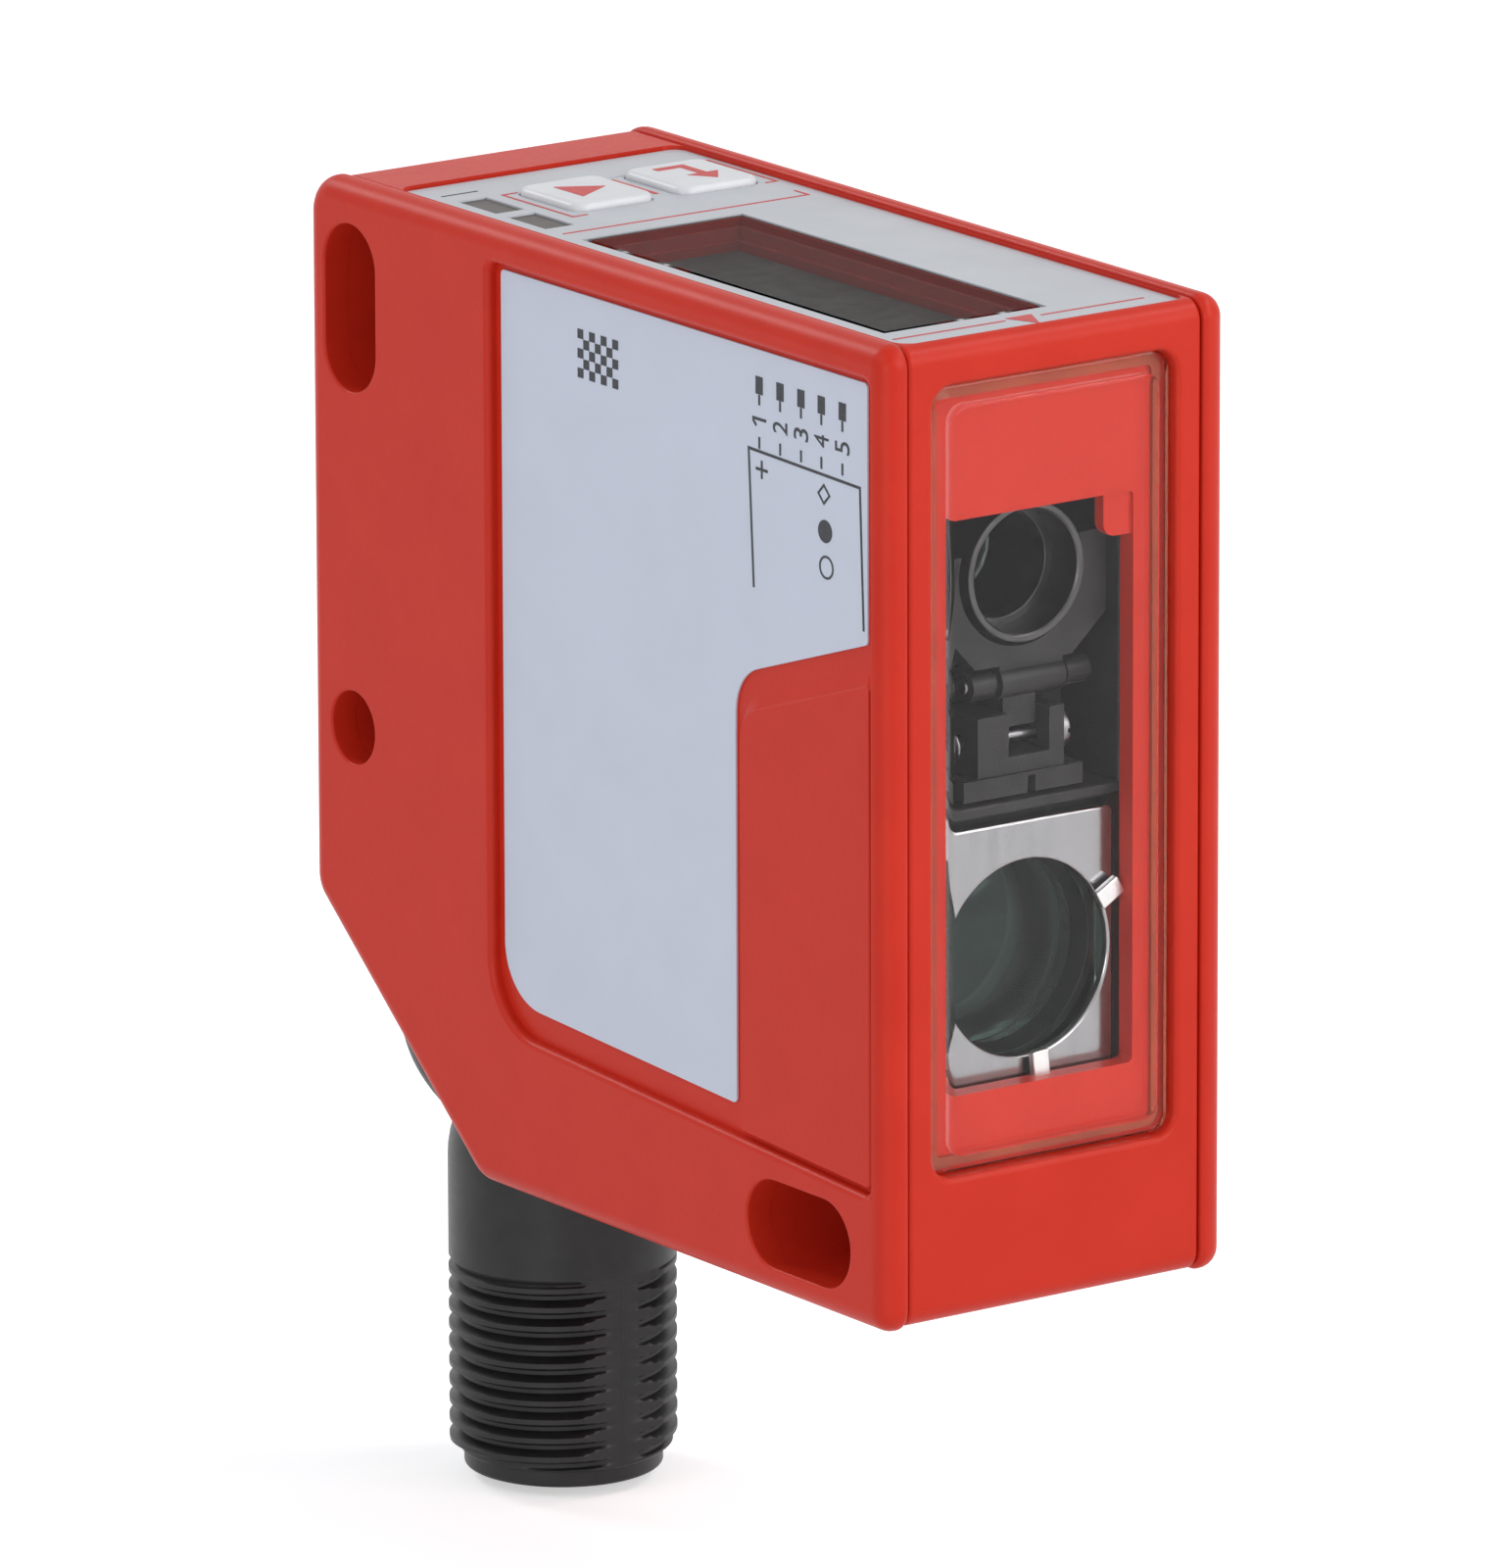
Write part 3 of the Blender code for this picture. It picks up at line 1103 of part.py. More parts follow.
def adjusting_spring(finish):
    """The coil between the base and the nut."""
    y, z = behind(HINGE_BEHIND), below(ADJUSTER_BELOW)
    left = MID_X - YOKE_BASE_WIDTH / 2 - ADJUSTER_SPRING_LENGTH - SEAT_GAP + SPRING_WIRE_RADIUS
    length = ADJUSTER_SPRING_LENGTH - 2 * SPRING_WIRE_RADIUS
    radius = ADJUSTER_SHANK_RADIUS + 2 * PIN_GAP + SPRING_WIRE_RADIUS
    curve = bpy.data.curves.new("adjusting_spring", "CURVE")
    curve.dimensions = "3D"
    curve.bevel_depth = SPRING_WIRE_RADIUS
    curve.bevel_resolution = 0
    curve.use_fill_caps = True
    spline = curve.splines.new("POLY")
    count = SPRING_TURNS * SPRING_STEPS
    spline.points.add(count)
    for index, point in enumerate(spline.points):
        angle = math.tau * index / SPRING_STEPS
        x = left + length * index / count
        point.co = (x, y + radius * math.cos(angle), z + radius * math.sin(angle), 1)
    spring = bpy.data.objects.new("adjusting_spring", curve)
    curve.materials.append(finish)
    bpy.data.collections[PARTS_NAME].objects.link(spring)
    return spring


def lens_plate(finish):
    """The bright plate in front of the receiver lens, with its round aperture."""
    centre = (MID_X, below((LENS_PLATE_TOP + LENS_PLATE_BOTTOM) / 2))
    edge = oblong(centre, LENS_PLATE_WIDTH, LENS_PLATE_BOTTOM - LENS_PLATE_TOP, LENS_PLATE_THICKNESS)
    hole = oblong((MID_X, below(LENS_BELOW)), 2 * APERTURE_RADIUS, 2 * APERTURE_RADIUS, APERTURE_RADIUS)
    front = behind(OPTICS_FRONT)
    return piece(slab("lens_plate", [edge, hole], front, front + LENS_PLATE_THICKNESS, "front"), finish)


def receiver_filter(finish):
    """The glass filter between the plate and the lens barrel."""
    centre = (MID_X, below((LENS_PLATE_TOP + LENS_PLATE_BOTTOM) / 2 - SEAT_GAP))
    height = LENS_PLATE_BOTTOM - LENS_PLATE_TOP
    outline = oblong(centre, LENS_PLATE_WIDTH - 2 * SEAT_GAP, height, LENS_PLATE_THICKNESS / 2)
    front = behind(FILTER_FRONT)
    return piece(slab("receiver_filter", [outline], front, front + FILTER_THICKNESS, "front"), finish)


def lens_clip(name, angle, finish):
    """A short tongue over the edge of the aperture, at this angle up from +X."""
    along = Vector((math.cos(angle), math.sin(angle)))
    sideways = Vector((-along.y, along.x)) * LENS_CLIP_WIDTH / 2
    middle = Vector((MID_X, below(LENS_BELOW)))
    inner = middle + along * (APERTURE_RADIUS - LENS_CLIP_OVERHANG)
    outer = inner + along * LENS_CLIP_LENGTH
    places = [inner - sideways, outer - sideways, outer + sideways, inner + sideways]
    corners = [(*place, LENS_CLIP_WIDTH / 4) for place in places]
    back = behind(OPTICS_FRONT) - SEAT_GAP
    return piece(slab(name, [corners], back - LENS_CLIP_THICKNESS, back, "front"), finish)


def lens_barrel(finish):
    """The stepped black tube behind the receiver lens, with baffles that narrow towards the chip."""
    outer, bore, shoulder, back = BARREL_RADIUS, BARREL_BORE, LENS_SHOULDER_BORE, -BARREL_LENGTH
    profile = [(outer, 0), (outer, back), (BARREL_END_BORE, back)]
    profile += [(BARREL_END_BORE, back + BARREL_END_THICKNESS), (shoulder, back + BARREL_END_THICKNESS)]
    for count, baffle in enumerate(BAFFLE_BORES, start=1):
        start = back + count * BAFFLE_SPACING
        end = start + BAFFLE_THICKNESS
        profile += [(shoulder, start), (baffle, start), (baffle, end), (shoulder, end)]
    lens_back = -RECEIVER_LENS_THICKNESS - 2 * SEAT_GAP
    profile += [(shoulder, lens_back), (bore, lens_back), (bore, 0)]
    return piece(turned("lens_barrel", profile, beam_place(BARREL_FRONT, LENS_BELOW), True), finish)


def receiver_lens(finish):
    back = -SEAT_GAP - RECEIVER_LENS_THICKNESS
    profile = lens_profile(BARREL_BORE - SEAT_GAP, -SEAT_GAP, back, RECEIVER_LENS_SAG)
    return piece(turned("receiver_lens", profile, beam_place(BARREL_FRONT, LENS_BELOW)), finish)


def receiver_board(finish):
    side = RECEIVER_BOARD_SIZE
    outline = oblong((MID_X, below(LENS_BELOW)), side, side, BOARD_CORNER)
    front = behind(RECEIVER_BOARD_FRONT)
    return piece(slab("receiver_board", [outline], front, front + BOARD_THICKNESS, "front"), finish)


def receiver_chip(finish):
    """The position-sensitive detector at the barrel's far end."""
    half = RECEIVER_CHIP_SIZE / 2
    back, z = behind(RECEIVER_CHIP_BACK), below(LENS_BELOW)
    low = (MID_X - half, back - RECEIVER_CHIP_THICKNESS, z - half)
    return piece(soften(block("receiver_chip", low, (MID_X + half, back, z + half)), CHIP_EDGE, 1), finish)


def turret_profile():
    """The turret and its neck down their outer side, outwards from the chamfer being up."""
    edge, top = TURRET_EDGE_RADIUS, TURRET_HEIGHT
    profile = [(0, top)]
    for step in range(DOME_STEPS + 1):
        angle = math.pi / 2 * (1 - step / DOME_STEPS)
        profile.append((TURRET_RADIUS - edge + edge * math.cos(angle), top - edge + edge * math.sin(angle)))
    groove = NECK_RADIUS - RETAINER_GROOVE_DEPTH
    groove_high, groove_low = RETAINER_HIGH + SEAL_GAP, RETAINER_LOW - SEAL_GAP
    profile += [(TURRET_RADIUS, SEAT_GAP), (NECK_RADIUS, SEAT_GAP), (NECK_RADIUS, groove_high)]
    profile += [(groove, groove_high), (groove, groove_low), (NECK_RADIUS, groove_low)]
    return profile + [(NECK_RADIUS, NECK_END), (0, NECK_END)]


def nose_profile():
    """The threaded nose down its outer side, from its free end to the dome inside the turret."""
    thread_end = NOSE_REACH - END_RING_LENGTH
    crest, root = NOSE_RADIUS, NOSE_RADIUS - THREAD_DEPTH
    chamfer = END_RING_CHAMFER
    profile = [(0, NOSE_REACH), (END_RING_RADIUS - chamfer, NOSE_REACH)]
    profile += [(END_RING_RADIUS, NOSE_REACH - chamfer), (END_RING_RADIUS, thread_end)]
    for turn in range(THREAD_TURNS):
        middle = thread_end - (turn + 1 / 2) * THREAD_PITCH
        high, low = middle + THREAD_CREST / 2, middle - THREAD_CREST / 2
        profile += [(root, middle + THREAD_PITCH / 2), (crest, high), (crest, low)]
    collar = thread_end - THREAD_TURNS * THREAD_PITCH
    profile += [(root, collar), (crest, collar - THREAD_CREST)]
    for step in range(DOME_STEPS):
        angle = math.pi / 2 * step / DOME_STEPS
        profile.append((crest * math.cos(angle), NOSE_DOME - crest * math.sin(angle)))
    return profile + [(0, NOSE_DOME - crest)]


def connector_shell(finish, swivel):
    """The turning elbow: a turret on the chamfer with a threaded nose, bored for the leads and the insert."""
    shell = turned("connector_shell", turret_profile(), SWIVEL_PLACE, sides=CONNECTOR_SIDES)
    join(shell, turned("nose", nose_profile(), NOSE_PLACE, sides=CONNECTOR_SIDES))
    groove_half = SWIVEL_SEAL_SECTION + SEAL_GAP
    groove_inner, groove_outer = SWIVEL_SEAL_RADIUS - groove_half, SWIVEL_SEAL_RADIUS + groove_half
    groove_top = SEAT_GAP + SWIVEL_SEAL_SECTION + groove_half
    cut(shell, ring("turret_groove", groove_inner, groove_outer, -THROUGH, groove_top, SWIVEL_PLACE,
                    CONNECTOR_SIDES))

    socket_back = INSERT_BACK - SOLDER_ROOM
    socket_ends = on_axis(NOSE_PLACE, NOSE_REACH + THROUGH), on_axis(NOSE_PLACE, socket_back)
    cut(shell, rod("socket", SOCKET_RADIUS, *socket_ends))
    bore_ends = on_axis(NOSE_PLACE, socket_back + THROUGH), on_axis(NOSE_PLACE, LEAD_BORE_END)
    cut(shell, rod("nose_bore", LEAD_BORE_RADIUS, *bore_ends))
    neck_ends = on_axis(SWIVEL_PLACE, NECK_END - THROUGH), on_axis(SWIVEL_PLACE, NECK_BORE_END)
    cut(shell, rod("neck_bore", LEAD_BORE_RADIUS, *neck_ends))

    half_key = CODING_KEY_WIDTH / 2
    key_low = (-half_key, SOCKET_RADIUS - half_key, PIN_FACE + SEAT_GAP)
    key = block("coding_key", key_low, (half_key, SOCKET_RADIUS + OVERLAP, NOSE_REACH - END_RING_LENGTH))
    key.matrix_world = NOSE_PLACE @ Matrix.Translation(key.location)
    join(shell, key)
    return piece(shell, finish, swivel)


def contact_insert(finish, swivel):
    """The insulator that holds the contact pins, bored for each."""
    ends = on_axis(NOSE_PLACE, INSERT_BACK), on_axis(NOSE_PLACE, PIN_FACE)
    insert = rod("contact_insert", SOCKET_RADIUS - SEAL_GAP, *ends)
    for x, y in pin_places():
        low = NOSE_PLACE @ Vector((x, y, INSERT_BACK - THROUGH))
        high = NOSE_PLACE @ Vector((x, y, PIN_FACE + THROUGH))
        cut(insert, rod("pin_bore", PIN_RADIUS + PIN_GAP, low, high, SMALL_SIDES))
    return piece(insert, finish, swivel)


def pin_places():
    """Four pins in a square round one in the middle."""
    angles = [math.radians(45 + 90 * turn) for turn in range(4)]
    square = [(PIN_CIRCLE_RADIUS * math.cos(angle), PIN_CIRCLE_RADIUS * math.sin(angle)) for angle in angles]
    return square + [(0, 0)]


def contact_pins(finish, swivel):
    """The pins, from their solder ends behind the insert to their rounded tips."""
    tip, tail = PIN_FACE + PIN_REACH, INSERT_BACK - SOLDER_TAIL
    half = PIN_RADIUS / 2
    shoulder = tip - PIN_RADIUS
    profile = [(0, tip), (half, tip - half / 4), (PIN_RADIUS, shoulder), (PIN_RADIUS, tail), (0, tail)]
    for number, (x, y) in enumerate(pin_places(), start=1):
        place = NOSE_PLACE @ Matrix.Translation((x, y, 0))
        piece(turned(f"contact_pin_{number}", profile, place, sides=SMALL_SIDES), finish, swivel)


def swivel_seal(finish, swivel):
    """The sealing ring in the turret's groove, against the chamfer."""
    radius, section = SWIVEL_SEAL_RADIUS, SWIVEL_SEAL_SECTION
    height = SEAT_GAP + section
    angles = [math.radians(90 - 60 * step) for step in range(6)]
    profile = [(radius + section * math.cos(angle), height + section * math.sin(angle)) for angle in angles]
    seal = turned("swivel_seal", profile, SWIVEL_PLACE, True, CONNECTOR_SIDES)
    return piece(seal, finish, swivel)


def swivel_retainer(finish, swivel):
    """The open clip ring on the neck, just inside the chamfer wall."""
    inner = NECK_RADIUS - RETAINER_GROOVE_DEPTH + SEAL_GAP
    outer = inner + RETAINER_WIDTH
    clip = ring("swivel_retainer", inner, outer, RETAINER_LOW, RETAINER_HIGH, SWIVEL_PLACE)
    mouth_low = (0, -inner / 2, RETAINER_LOW - THROUGH)
    mouth = block("clip_mouth", mouth_low, (outer + THROUGH, inner / 2, RETAINER_HIGH + THROUGH))
    mouth.matrix_world = SWIVEL_PLACE @ Matrix.Translation(mouth.location)
    return piece(cut(clip, mouth), finish, swivel)


def turning_connector(black, metal, rubber):
    """Everything that turns with the connector, under an empty on the swivel's axis."""
    swivel = bpy.data.objects.new("connector_turn", None)
    swivel.matrix_world = SWIVEL_PLACE
    bpy.data.collections[PARTS_NAME].objects.link(swivel)
    bpy.context.view_layer.update()
    connector_shell(black, swivel)
    contact_insert(black, swivel)
    contact_pins(metal, swivel)
    swivel_seal(rubber, swivel)
    swivel_retainer(metal, swivel)


def build():
    clear_scene()
    red = principled("red_housing", (0.62, 0.048, 0.03), 0.42)
    black = principled("black_plastic", (0.018, 0.018, 0.02), 0.5)
    foil_grey = principled("foil_grey", (0.52, 0.55, 0.58), 0.4)
    label_grey = principled("label_grey", (0.49, 0.52, 0.6), 0.5)
    clear = principled("clear_plastic", (0.95, 0.95, 0.95), 0.05, alpha=0.2)
    display_glass = principled("display_glass", (0.07, 0.07, 0.07), 0.2)
    white = principled("key_white", (0.8, 0.8, 0.8), 0.35)
    bright = principled("bright_metal", (0.75, 0.75, 0.77), 0.15, 1.0)
    gilt = principled("contact_metal", (0.8, 0.6, 0.25), 0.25, 1.0)
    lens = principled("lens_glass", (0.12, 0.16, 0.16), 0.05, alpha=0.4)
    board = principled("board_green", (0.02, 0.12, 0.05), 0.5)
    rubber = principled("seal_rubber", (0.02, 0.02, 0.02), 0.8)

    holes = mounting_cutters()
    housing_frame(red, holes)
    left_cover(red, holes)
    right_cover(red, holes)
    side_label(label_grey)
    front_window(clear)
    window_seal(rubber)

    panel_overlay(foil_grey)
    display_pane(clear)
    display_module(display_glass)
    status_light("front_status_light", FRONT_LIGHT_BEHIND, display_glass)
    status_light("rear_status_light", REAR_LIGHT_BEHIND, display_glass)
    status_lamp("front_status_lamp", FRONT_LIGHT_BEHIND, white)
    status_lamp("rear_status_lamp", REAR_LIGHT_BEHIND, white)
    push_key("up_key", UP_KEY_ACROSS, white)
    push_key("select_key", SELECT_KEY_ACROSS, white)
    key_switch("up_switch", UP_KEY_ACROSS, black)
    key_switch("select_switch", SELECT_KEY_ACROSS, black)

    display_board(board)
    main_board(board)
    board_chip("processor_chip", MAIN_BOARD_TOP + PROCESSOR_TO_TOP, PROCESSOR_SIZE, black)
    board_chip("regulator_chip", MAIN_BOARD_BOTTOM - REGULATOR_TO_BOTTOM, REGULATOR_SIZE, black)
    board_chip("driver_chip", MAIN_BOARD_BOTTOM - DRIVER_TO_BOTTOM, DRIVER_SIZE, black)
    board_link(black)

    hinge_bore = hinge_cutter()
    optics_carrier(black)
    laser_tube(black)
    collimator_lens(lens)
    laser_diode(bright)
    tube_yoke(black, hinge_bore)
    yoke_pin(bright)
    yoke_base(black, hinge_bore)
    adjusting_screw(bright)
    adjusting_spring(bright)
    lens_plate(bright)
    receiver_filter(lens)
    lens_clip("upper_lens_clip", math.radians(30), bright)
    lens_clip("lower_lens_clip", math.radians(-85), bright)
    lens_barrel(black)
    receiver_lens(lens)
    receiver_board(board)
    receiver_chip(black)

    turning_connector(black, gilt, rubber)


build()
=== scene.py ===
# Studio scene of a compact laser distance sensor with a turning plug connector.
# Shapes are drawn in millimetres and turned into metres when a piece is finished.
import math

import bmesh
import bpy
from mathutils import Matrix, Vector


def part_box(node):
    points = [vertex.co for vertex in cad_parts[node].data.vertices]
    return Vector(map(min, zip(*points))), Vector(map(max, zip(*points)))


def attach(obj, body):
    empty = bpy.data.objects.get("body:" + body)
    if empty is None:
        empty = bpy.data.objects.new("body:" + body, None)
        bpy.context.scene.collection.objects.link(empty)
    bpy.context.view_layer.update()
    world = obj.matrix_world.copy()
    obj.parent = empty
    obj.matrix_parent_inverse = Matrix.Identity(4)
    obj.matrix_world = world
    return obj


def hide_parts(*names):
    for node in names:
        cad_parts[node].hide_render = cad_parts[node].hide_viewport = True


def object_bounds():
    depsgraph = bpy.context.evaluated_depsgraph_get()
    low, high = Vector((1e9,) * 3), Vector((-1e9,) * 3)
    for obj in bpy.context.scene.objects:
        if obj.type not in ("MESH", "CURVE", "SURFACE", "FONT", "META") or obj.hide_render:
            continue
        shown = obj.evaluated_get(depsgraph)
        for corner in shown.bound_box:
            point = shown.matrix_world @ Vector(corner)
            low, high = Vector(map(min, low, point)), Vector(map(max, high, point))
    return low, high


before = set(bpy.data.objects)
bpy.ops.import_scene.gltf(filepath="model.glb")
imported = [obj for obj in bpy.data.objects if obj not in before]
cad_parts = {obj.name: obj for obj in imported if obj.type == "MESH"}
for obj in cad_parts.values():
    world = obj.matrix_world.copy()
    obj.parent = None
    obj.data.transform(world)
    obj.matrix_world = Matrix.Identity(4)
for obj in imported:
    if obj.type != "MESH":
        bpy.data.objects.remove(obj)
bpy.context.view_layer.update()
bpy.context.scene.view_settings.view_transform = "Standard"

housing = {
    "width": 21.0,
    "length": 50.0,
    "height": 50.0,
    "chamferLength": 14.6,
    "chamferHeight": 12.4,
    "frontCorner": 1.2,
    "rearCorner": 2.0,
    "coverThickness": 1.5,
    "coverEdge": 1.1,
    "frameStep": 0.15,
    "seatGap": 0.25,
    "seam": 0.05,
    "seamRound": 0.3,
    "lipWall": 0.8,
    "lipRoot": 0.4,
    "lipReach": 0.7,
    "swivelBore": 5.25,
    "smallRound": 0.09,
}
midX = -housing["width"] / 2
frontY = -housing["length"] / 2
topZ = housing["height"] / 2


def fromLabel(distance):
    return distance - housing["width"]


def fromFront(distance):
    return frontY + distance


def fromTop(distance):
    return topZ - distance


# the turning axis stands square on the sloping corner, the nose points straight down at rest
slopeAngle = math.atan2(housing["chamferHeight"], housing["chamferLength"])
swivelCentre = Vector((midX, -frontY - housing["chamferLength"] / 2, housing["chamferHeight"] / 2 - topZ))
swivelPlace = Matrix.Translation(swivelCentre) @ Matrix.Rotation(math.pi + slopeAngle, 4, "X")
nosePlace = Matrix.Translation(swivelCentre) @ Matrix.Rotation(math.pi, 4, "X")

facings = {
    "side": Matrix(((0, 0, 1), (1, 0, 0), (0, 1, 0))).to_4x4(),
    "front": Matrix(((1, 0, 0), (0, 0, -1), (0, 1, 0))).to_4x4(),
    "top": Matrix.Identity(4),
}
facingAxis = {"side": 0, "front": 1, "top": 2}
arcStep = math.radians(6)
tinyStep = 0.0005
sharpEdge = math.radians(30)
largeFace = 3e-5  # square metres
manyCorners = 12
past = 1.0  # how far a cutter reaches beyond what it cuts
finishes = {}


# drawing tools

def addObject(name, data):
    added = bpy.data.objects.new(name, data)
    bpy.context.scene.collection.objects.link(added)
    return added


def holdMesh(name, shape, place=None):
    mesh = bpy.data.meshes.new(name)
    if place is not None:
        shape.transform(place)
    shape.to_mesh(mesh)
    shape.free()
    return addObject(name, mesh)


def shapeFrom(curve):
    # the solid shape of a curve or a text
    holder = addObject(curve.name, curve)
    mesh = bpy.data.meshes.new_from_object(holder.evaluated_get(bpy.context.evaluated_depsgraph_get()))
    bpy.data.objects.remove(holder)
    shape = bmesh.new()
    shape.from_mesh(mesh)
    bpy.data.meshes.remove(mesh)
    return shape


def roundCorners(corners, closed=True):
    # points of an outline or profile whose (u, v, radius) corners are rounded
    points = []
    last = len(corners) - 1
    for index, (u, v, radius) in enumerate(corners):
        corner = Vector((u, v))
        if radius <= 0 or (not closed and index in (0, last)):
            points.append(corner)
            continue
        before = (Vector(corners[index - 1][:2]) - corner).normalized()
        after = (Vector(corners[(index + 1) % len(corners)][:2]) - corner).normalized()
        half = before.angle(after) / 2
        middle = corner + (before + after).normalized() * radius / math.sin(half)
        start = corner + before * radius / math.tan(half) - middle
        end = corner + after * radius / math.tan(half) - middle
        sweep = math.atan2(start.cross(end), start.dot(end))
        steps = max(3, round(abs(sweep) / arcStep))
        for step in range(steps + 1):
            points.append(middle + Matrix.Rotation(sweep * step / steps, 2) @ start)
    kept = [points[0]]
    for point in points[1:]:
        if (point - kept[-1]).length > tinyStep:
            kept.append(point)
    if closed and (kept[0] - kept[-1]).length < tinyStep:
        kept.pop()
    return kept


def insetOutline(corners, walls):
    # an anticlockwise outline moved inwards, by one wall or by one for each side in turn
    count = len(corners)
    if not isinstance(walls, (list, tuple)):
        walls = [walls] * count
    moved = []
    for index, (u, v, radius) in enumerate(corners):
        here = Vector((u, v))
        arriving = (here - Vector(corners[index - 1][:2])).normalized()
        leaving = (Vector(corners[(index + 1) % count][:2]) - here).normalized()
        first = Vector((-arriving.y, arriving.x))
        second = Vector((-leaving.y, leaving.x))
        firstWall, secondWall = walls[index - 1], walls[index]
        cosine = first.dot(second)
        shift = first * (firstWall - secondWall * cosine) + second * (secondWall - firstWall * cosine)
        here += shift / (1 - cosine * cosine)
        turn = 1 if arriving.cross(leaving) > 0 else -1
        moved.append((here.x, here.y, max(0.0, radius - turn * (firstWall + secondWall) / 2)))
    return moved


def rectangle(u, v, width, height, radius=0.0):
    signs = ((-1, -1), (1, -1), (1, 1), (-1, 1))
    return [(u + side * width / 2, v + end * height / 2, radius) for side, end in signs]


def plate(name, outlines, low, high, facing):
    # a flat body between two levels, the first outline outside and the rest as holes
    curve = bpy.data.curves.new(name, "CURVE")
    curve.dimensions = "2D"
    curve.fill_mode = "BOTH"
    curve.extrude = (high - low) / 2
    for corners in outlines:
        points = roundCorners(corners)
        spline = curve.splines.new("POLY")
        spline.points.add(len(points) - 1)
        for target, point in zip(spline.points, points):
            target.co = (point.x, point.y, 0, 1)
        spline.use_cyclic_u = True
    shape = shapeFrom(curve)
    bmesh.ops.remove_doubles(shape, verts=shape.verts, dist=tinyStep / 5)
    bmesh.ops.dissolve_limit(shape, angle_limit=math.radians(0.5), verts=shape.verts, edges=shape.edges)
    offset = Vector((0, 0, 0))
    offset[facingAxis[facing]] = (low + high) / 2
    return holdMesh(name, shape, Matrix.Translation(offset) @ facings[facing])


def roundRim(piece, facing, level, radius, segments=5):
    # rounds the edges that lie at this level
    axis = facingAxis[facing]
    shape = bmesh.new()
    shape.from_mesh(piece.data)
    rim = [edge for edge in shape.edges if all(abs(vert.co[axis] - level) < tinyStep for vert in edge.verts)
           and len(edge.link_faces) == 2 and edge.calc_face_angle() > sharpEdge]
    bmesh.ops.bevel(shape, geom=rim, offset=radius, segments=segments, profile=0.5, affect="EDGES")
    shape.to_mesh(piece.data)
    shape.free()
    return piece


def layered(name, rows, facing):
    # a closed body through outlines of equal point counts, each at its own level
    shape = bmesh.new()
    sign = -1 if facing == "front" else 1
    rings = [[shape.verts.new((point.x, point.y, sign * level)) for point in points] for points, level in rows]
    for lower, upper in zip(rings, rings[1:]):
        for index in range(len(lower)):
            after = (index + 1) % len(lower)
            shape.faces.new((lower[index], lower[after], upper[after], upper[index]))
    shape.faces.new(rings[0])
    shape.faces.new(rings[-1])
    bmesh.ops.recalc_face_normals(shape, faces=shape.faces)
    return holdMesh(name, shape, facings[facing])


def block(name, low, high):
    low, high = Vector(low), Vector(high)
    shape = bmesh.new()
    bmesh.ops.create_cube(shape, size=1.0, matrix=Matrix.Diagonal((*(high - low), 1.0)))
    return holdMesh(name, shape, Matrix.Translation((low + high) / 2))


def rod(name, radius, start, end, sides=64):
    start, end = Vector(start), Vector(end)
    shape = bmesh.new()
    bmesh.ops.create_cone(shape, cap_ends=True, segments=sides, radius1=radius, radius2=radius,
                          depth=(end - start).length)
    turn = (end - start).to_track_quat("Z", "Y").to_matrix().to_4x4()
    return holdMesh(name, shape, Matrix.Translation((start + end) / 2) @ turn)


def along(place, *heights):
    # points on the Z axis of a place
    return [place @ Vector((0, 0, height)) for height in heights]


def lathe(name, corners, place, closed=False, sides=96):
    # turns (radius, height, fillet) corners about the local Z; they run down the outer side
    profile = roundCorners(corners, closed)
    shape = bmesh.new()
    rows = []
    for point in profile:
        if point.x < tinyStep:
            rows.append([shape.verts.new((0, 0, point.y))])
            continue
        ring = [math.tau * index / sides for index in range(sides)]
        rows.append([shape.verts.new((point.x * math.cos(a), point.x * math.sin(a), point.y)) for a in ring])
    pairs = list(zip(rows, rows[1:]))
    if closed:
        pairs.append((rows[-1], rows[0]))
    for upper, lower in pairs:
        for index in range(sides):
            after = (index + 1) % sides
            if len(upper) == 1 and len(lower) == 1:
                break
            if len(upper) == 1:
                shape.faces.new((upper[0], lower[index], lower[after]))
            elif len(lower) == 1:
                shape.faces.new((upper[index], lower[0], upper[after]))
            else:
                shape.faces.new((upper[index], lower[index], lower[after], upper[after]))
    bmesh.ops.recalc_face_normals(shape, faces=shape.faces)
    return holdMesh(name, shape, place)


def bake(piece):
    # fixes the modifiers into the mesh
    mesh = bpy.data.meshes.new_from_object(piece.evaluated_get(bpy.context.evaluated_depsgraph_get()))
    piece.modifiers.clear()
    piece.data = mesh
    return piece


def combine(piece, other, operation):
    change = piece.modifiers.new("combine", "BOOLEAN")
    change.solver = "EXACT"
    change.operation = operation
    change.object = other
    bake(piece)
    bpy.data.objects.remove(other)


def carve(piece, *cutters):
    for cutter in cutters:
        combine(piece, cutter, "DIFFERENCE")


def weld(piece, *others):
    for other in others:
        combine(piece, other, "UNION")


def gather(piece, *others):
    # several loose shapes as one piece
    shape = bmesh.new()
    for source in (piece, *others):
        shape.from_mesh(source.data)
    shape.to_mesh(piece.data)
    shape.free()
    for other in others:
        bpy.data.objects.remove(other)
    return piece


def soften(piece, radius, segments=2):
    # small round on every sharp edge
    bevel = piece.modifiers.new("soften", "BEVEL")
    bevel.width = radius
    bevel.segments = segments
    bevel.limit_method = "ANGLE"
    bevel.angle_limit = sharpEdge
    bevel.harden_normals = False
    bevel.miter_outer = "MITER_ARC"
    bevel.use_clamp_overlap = True
    return bake(piece)


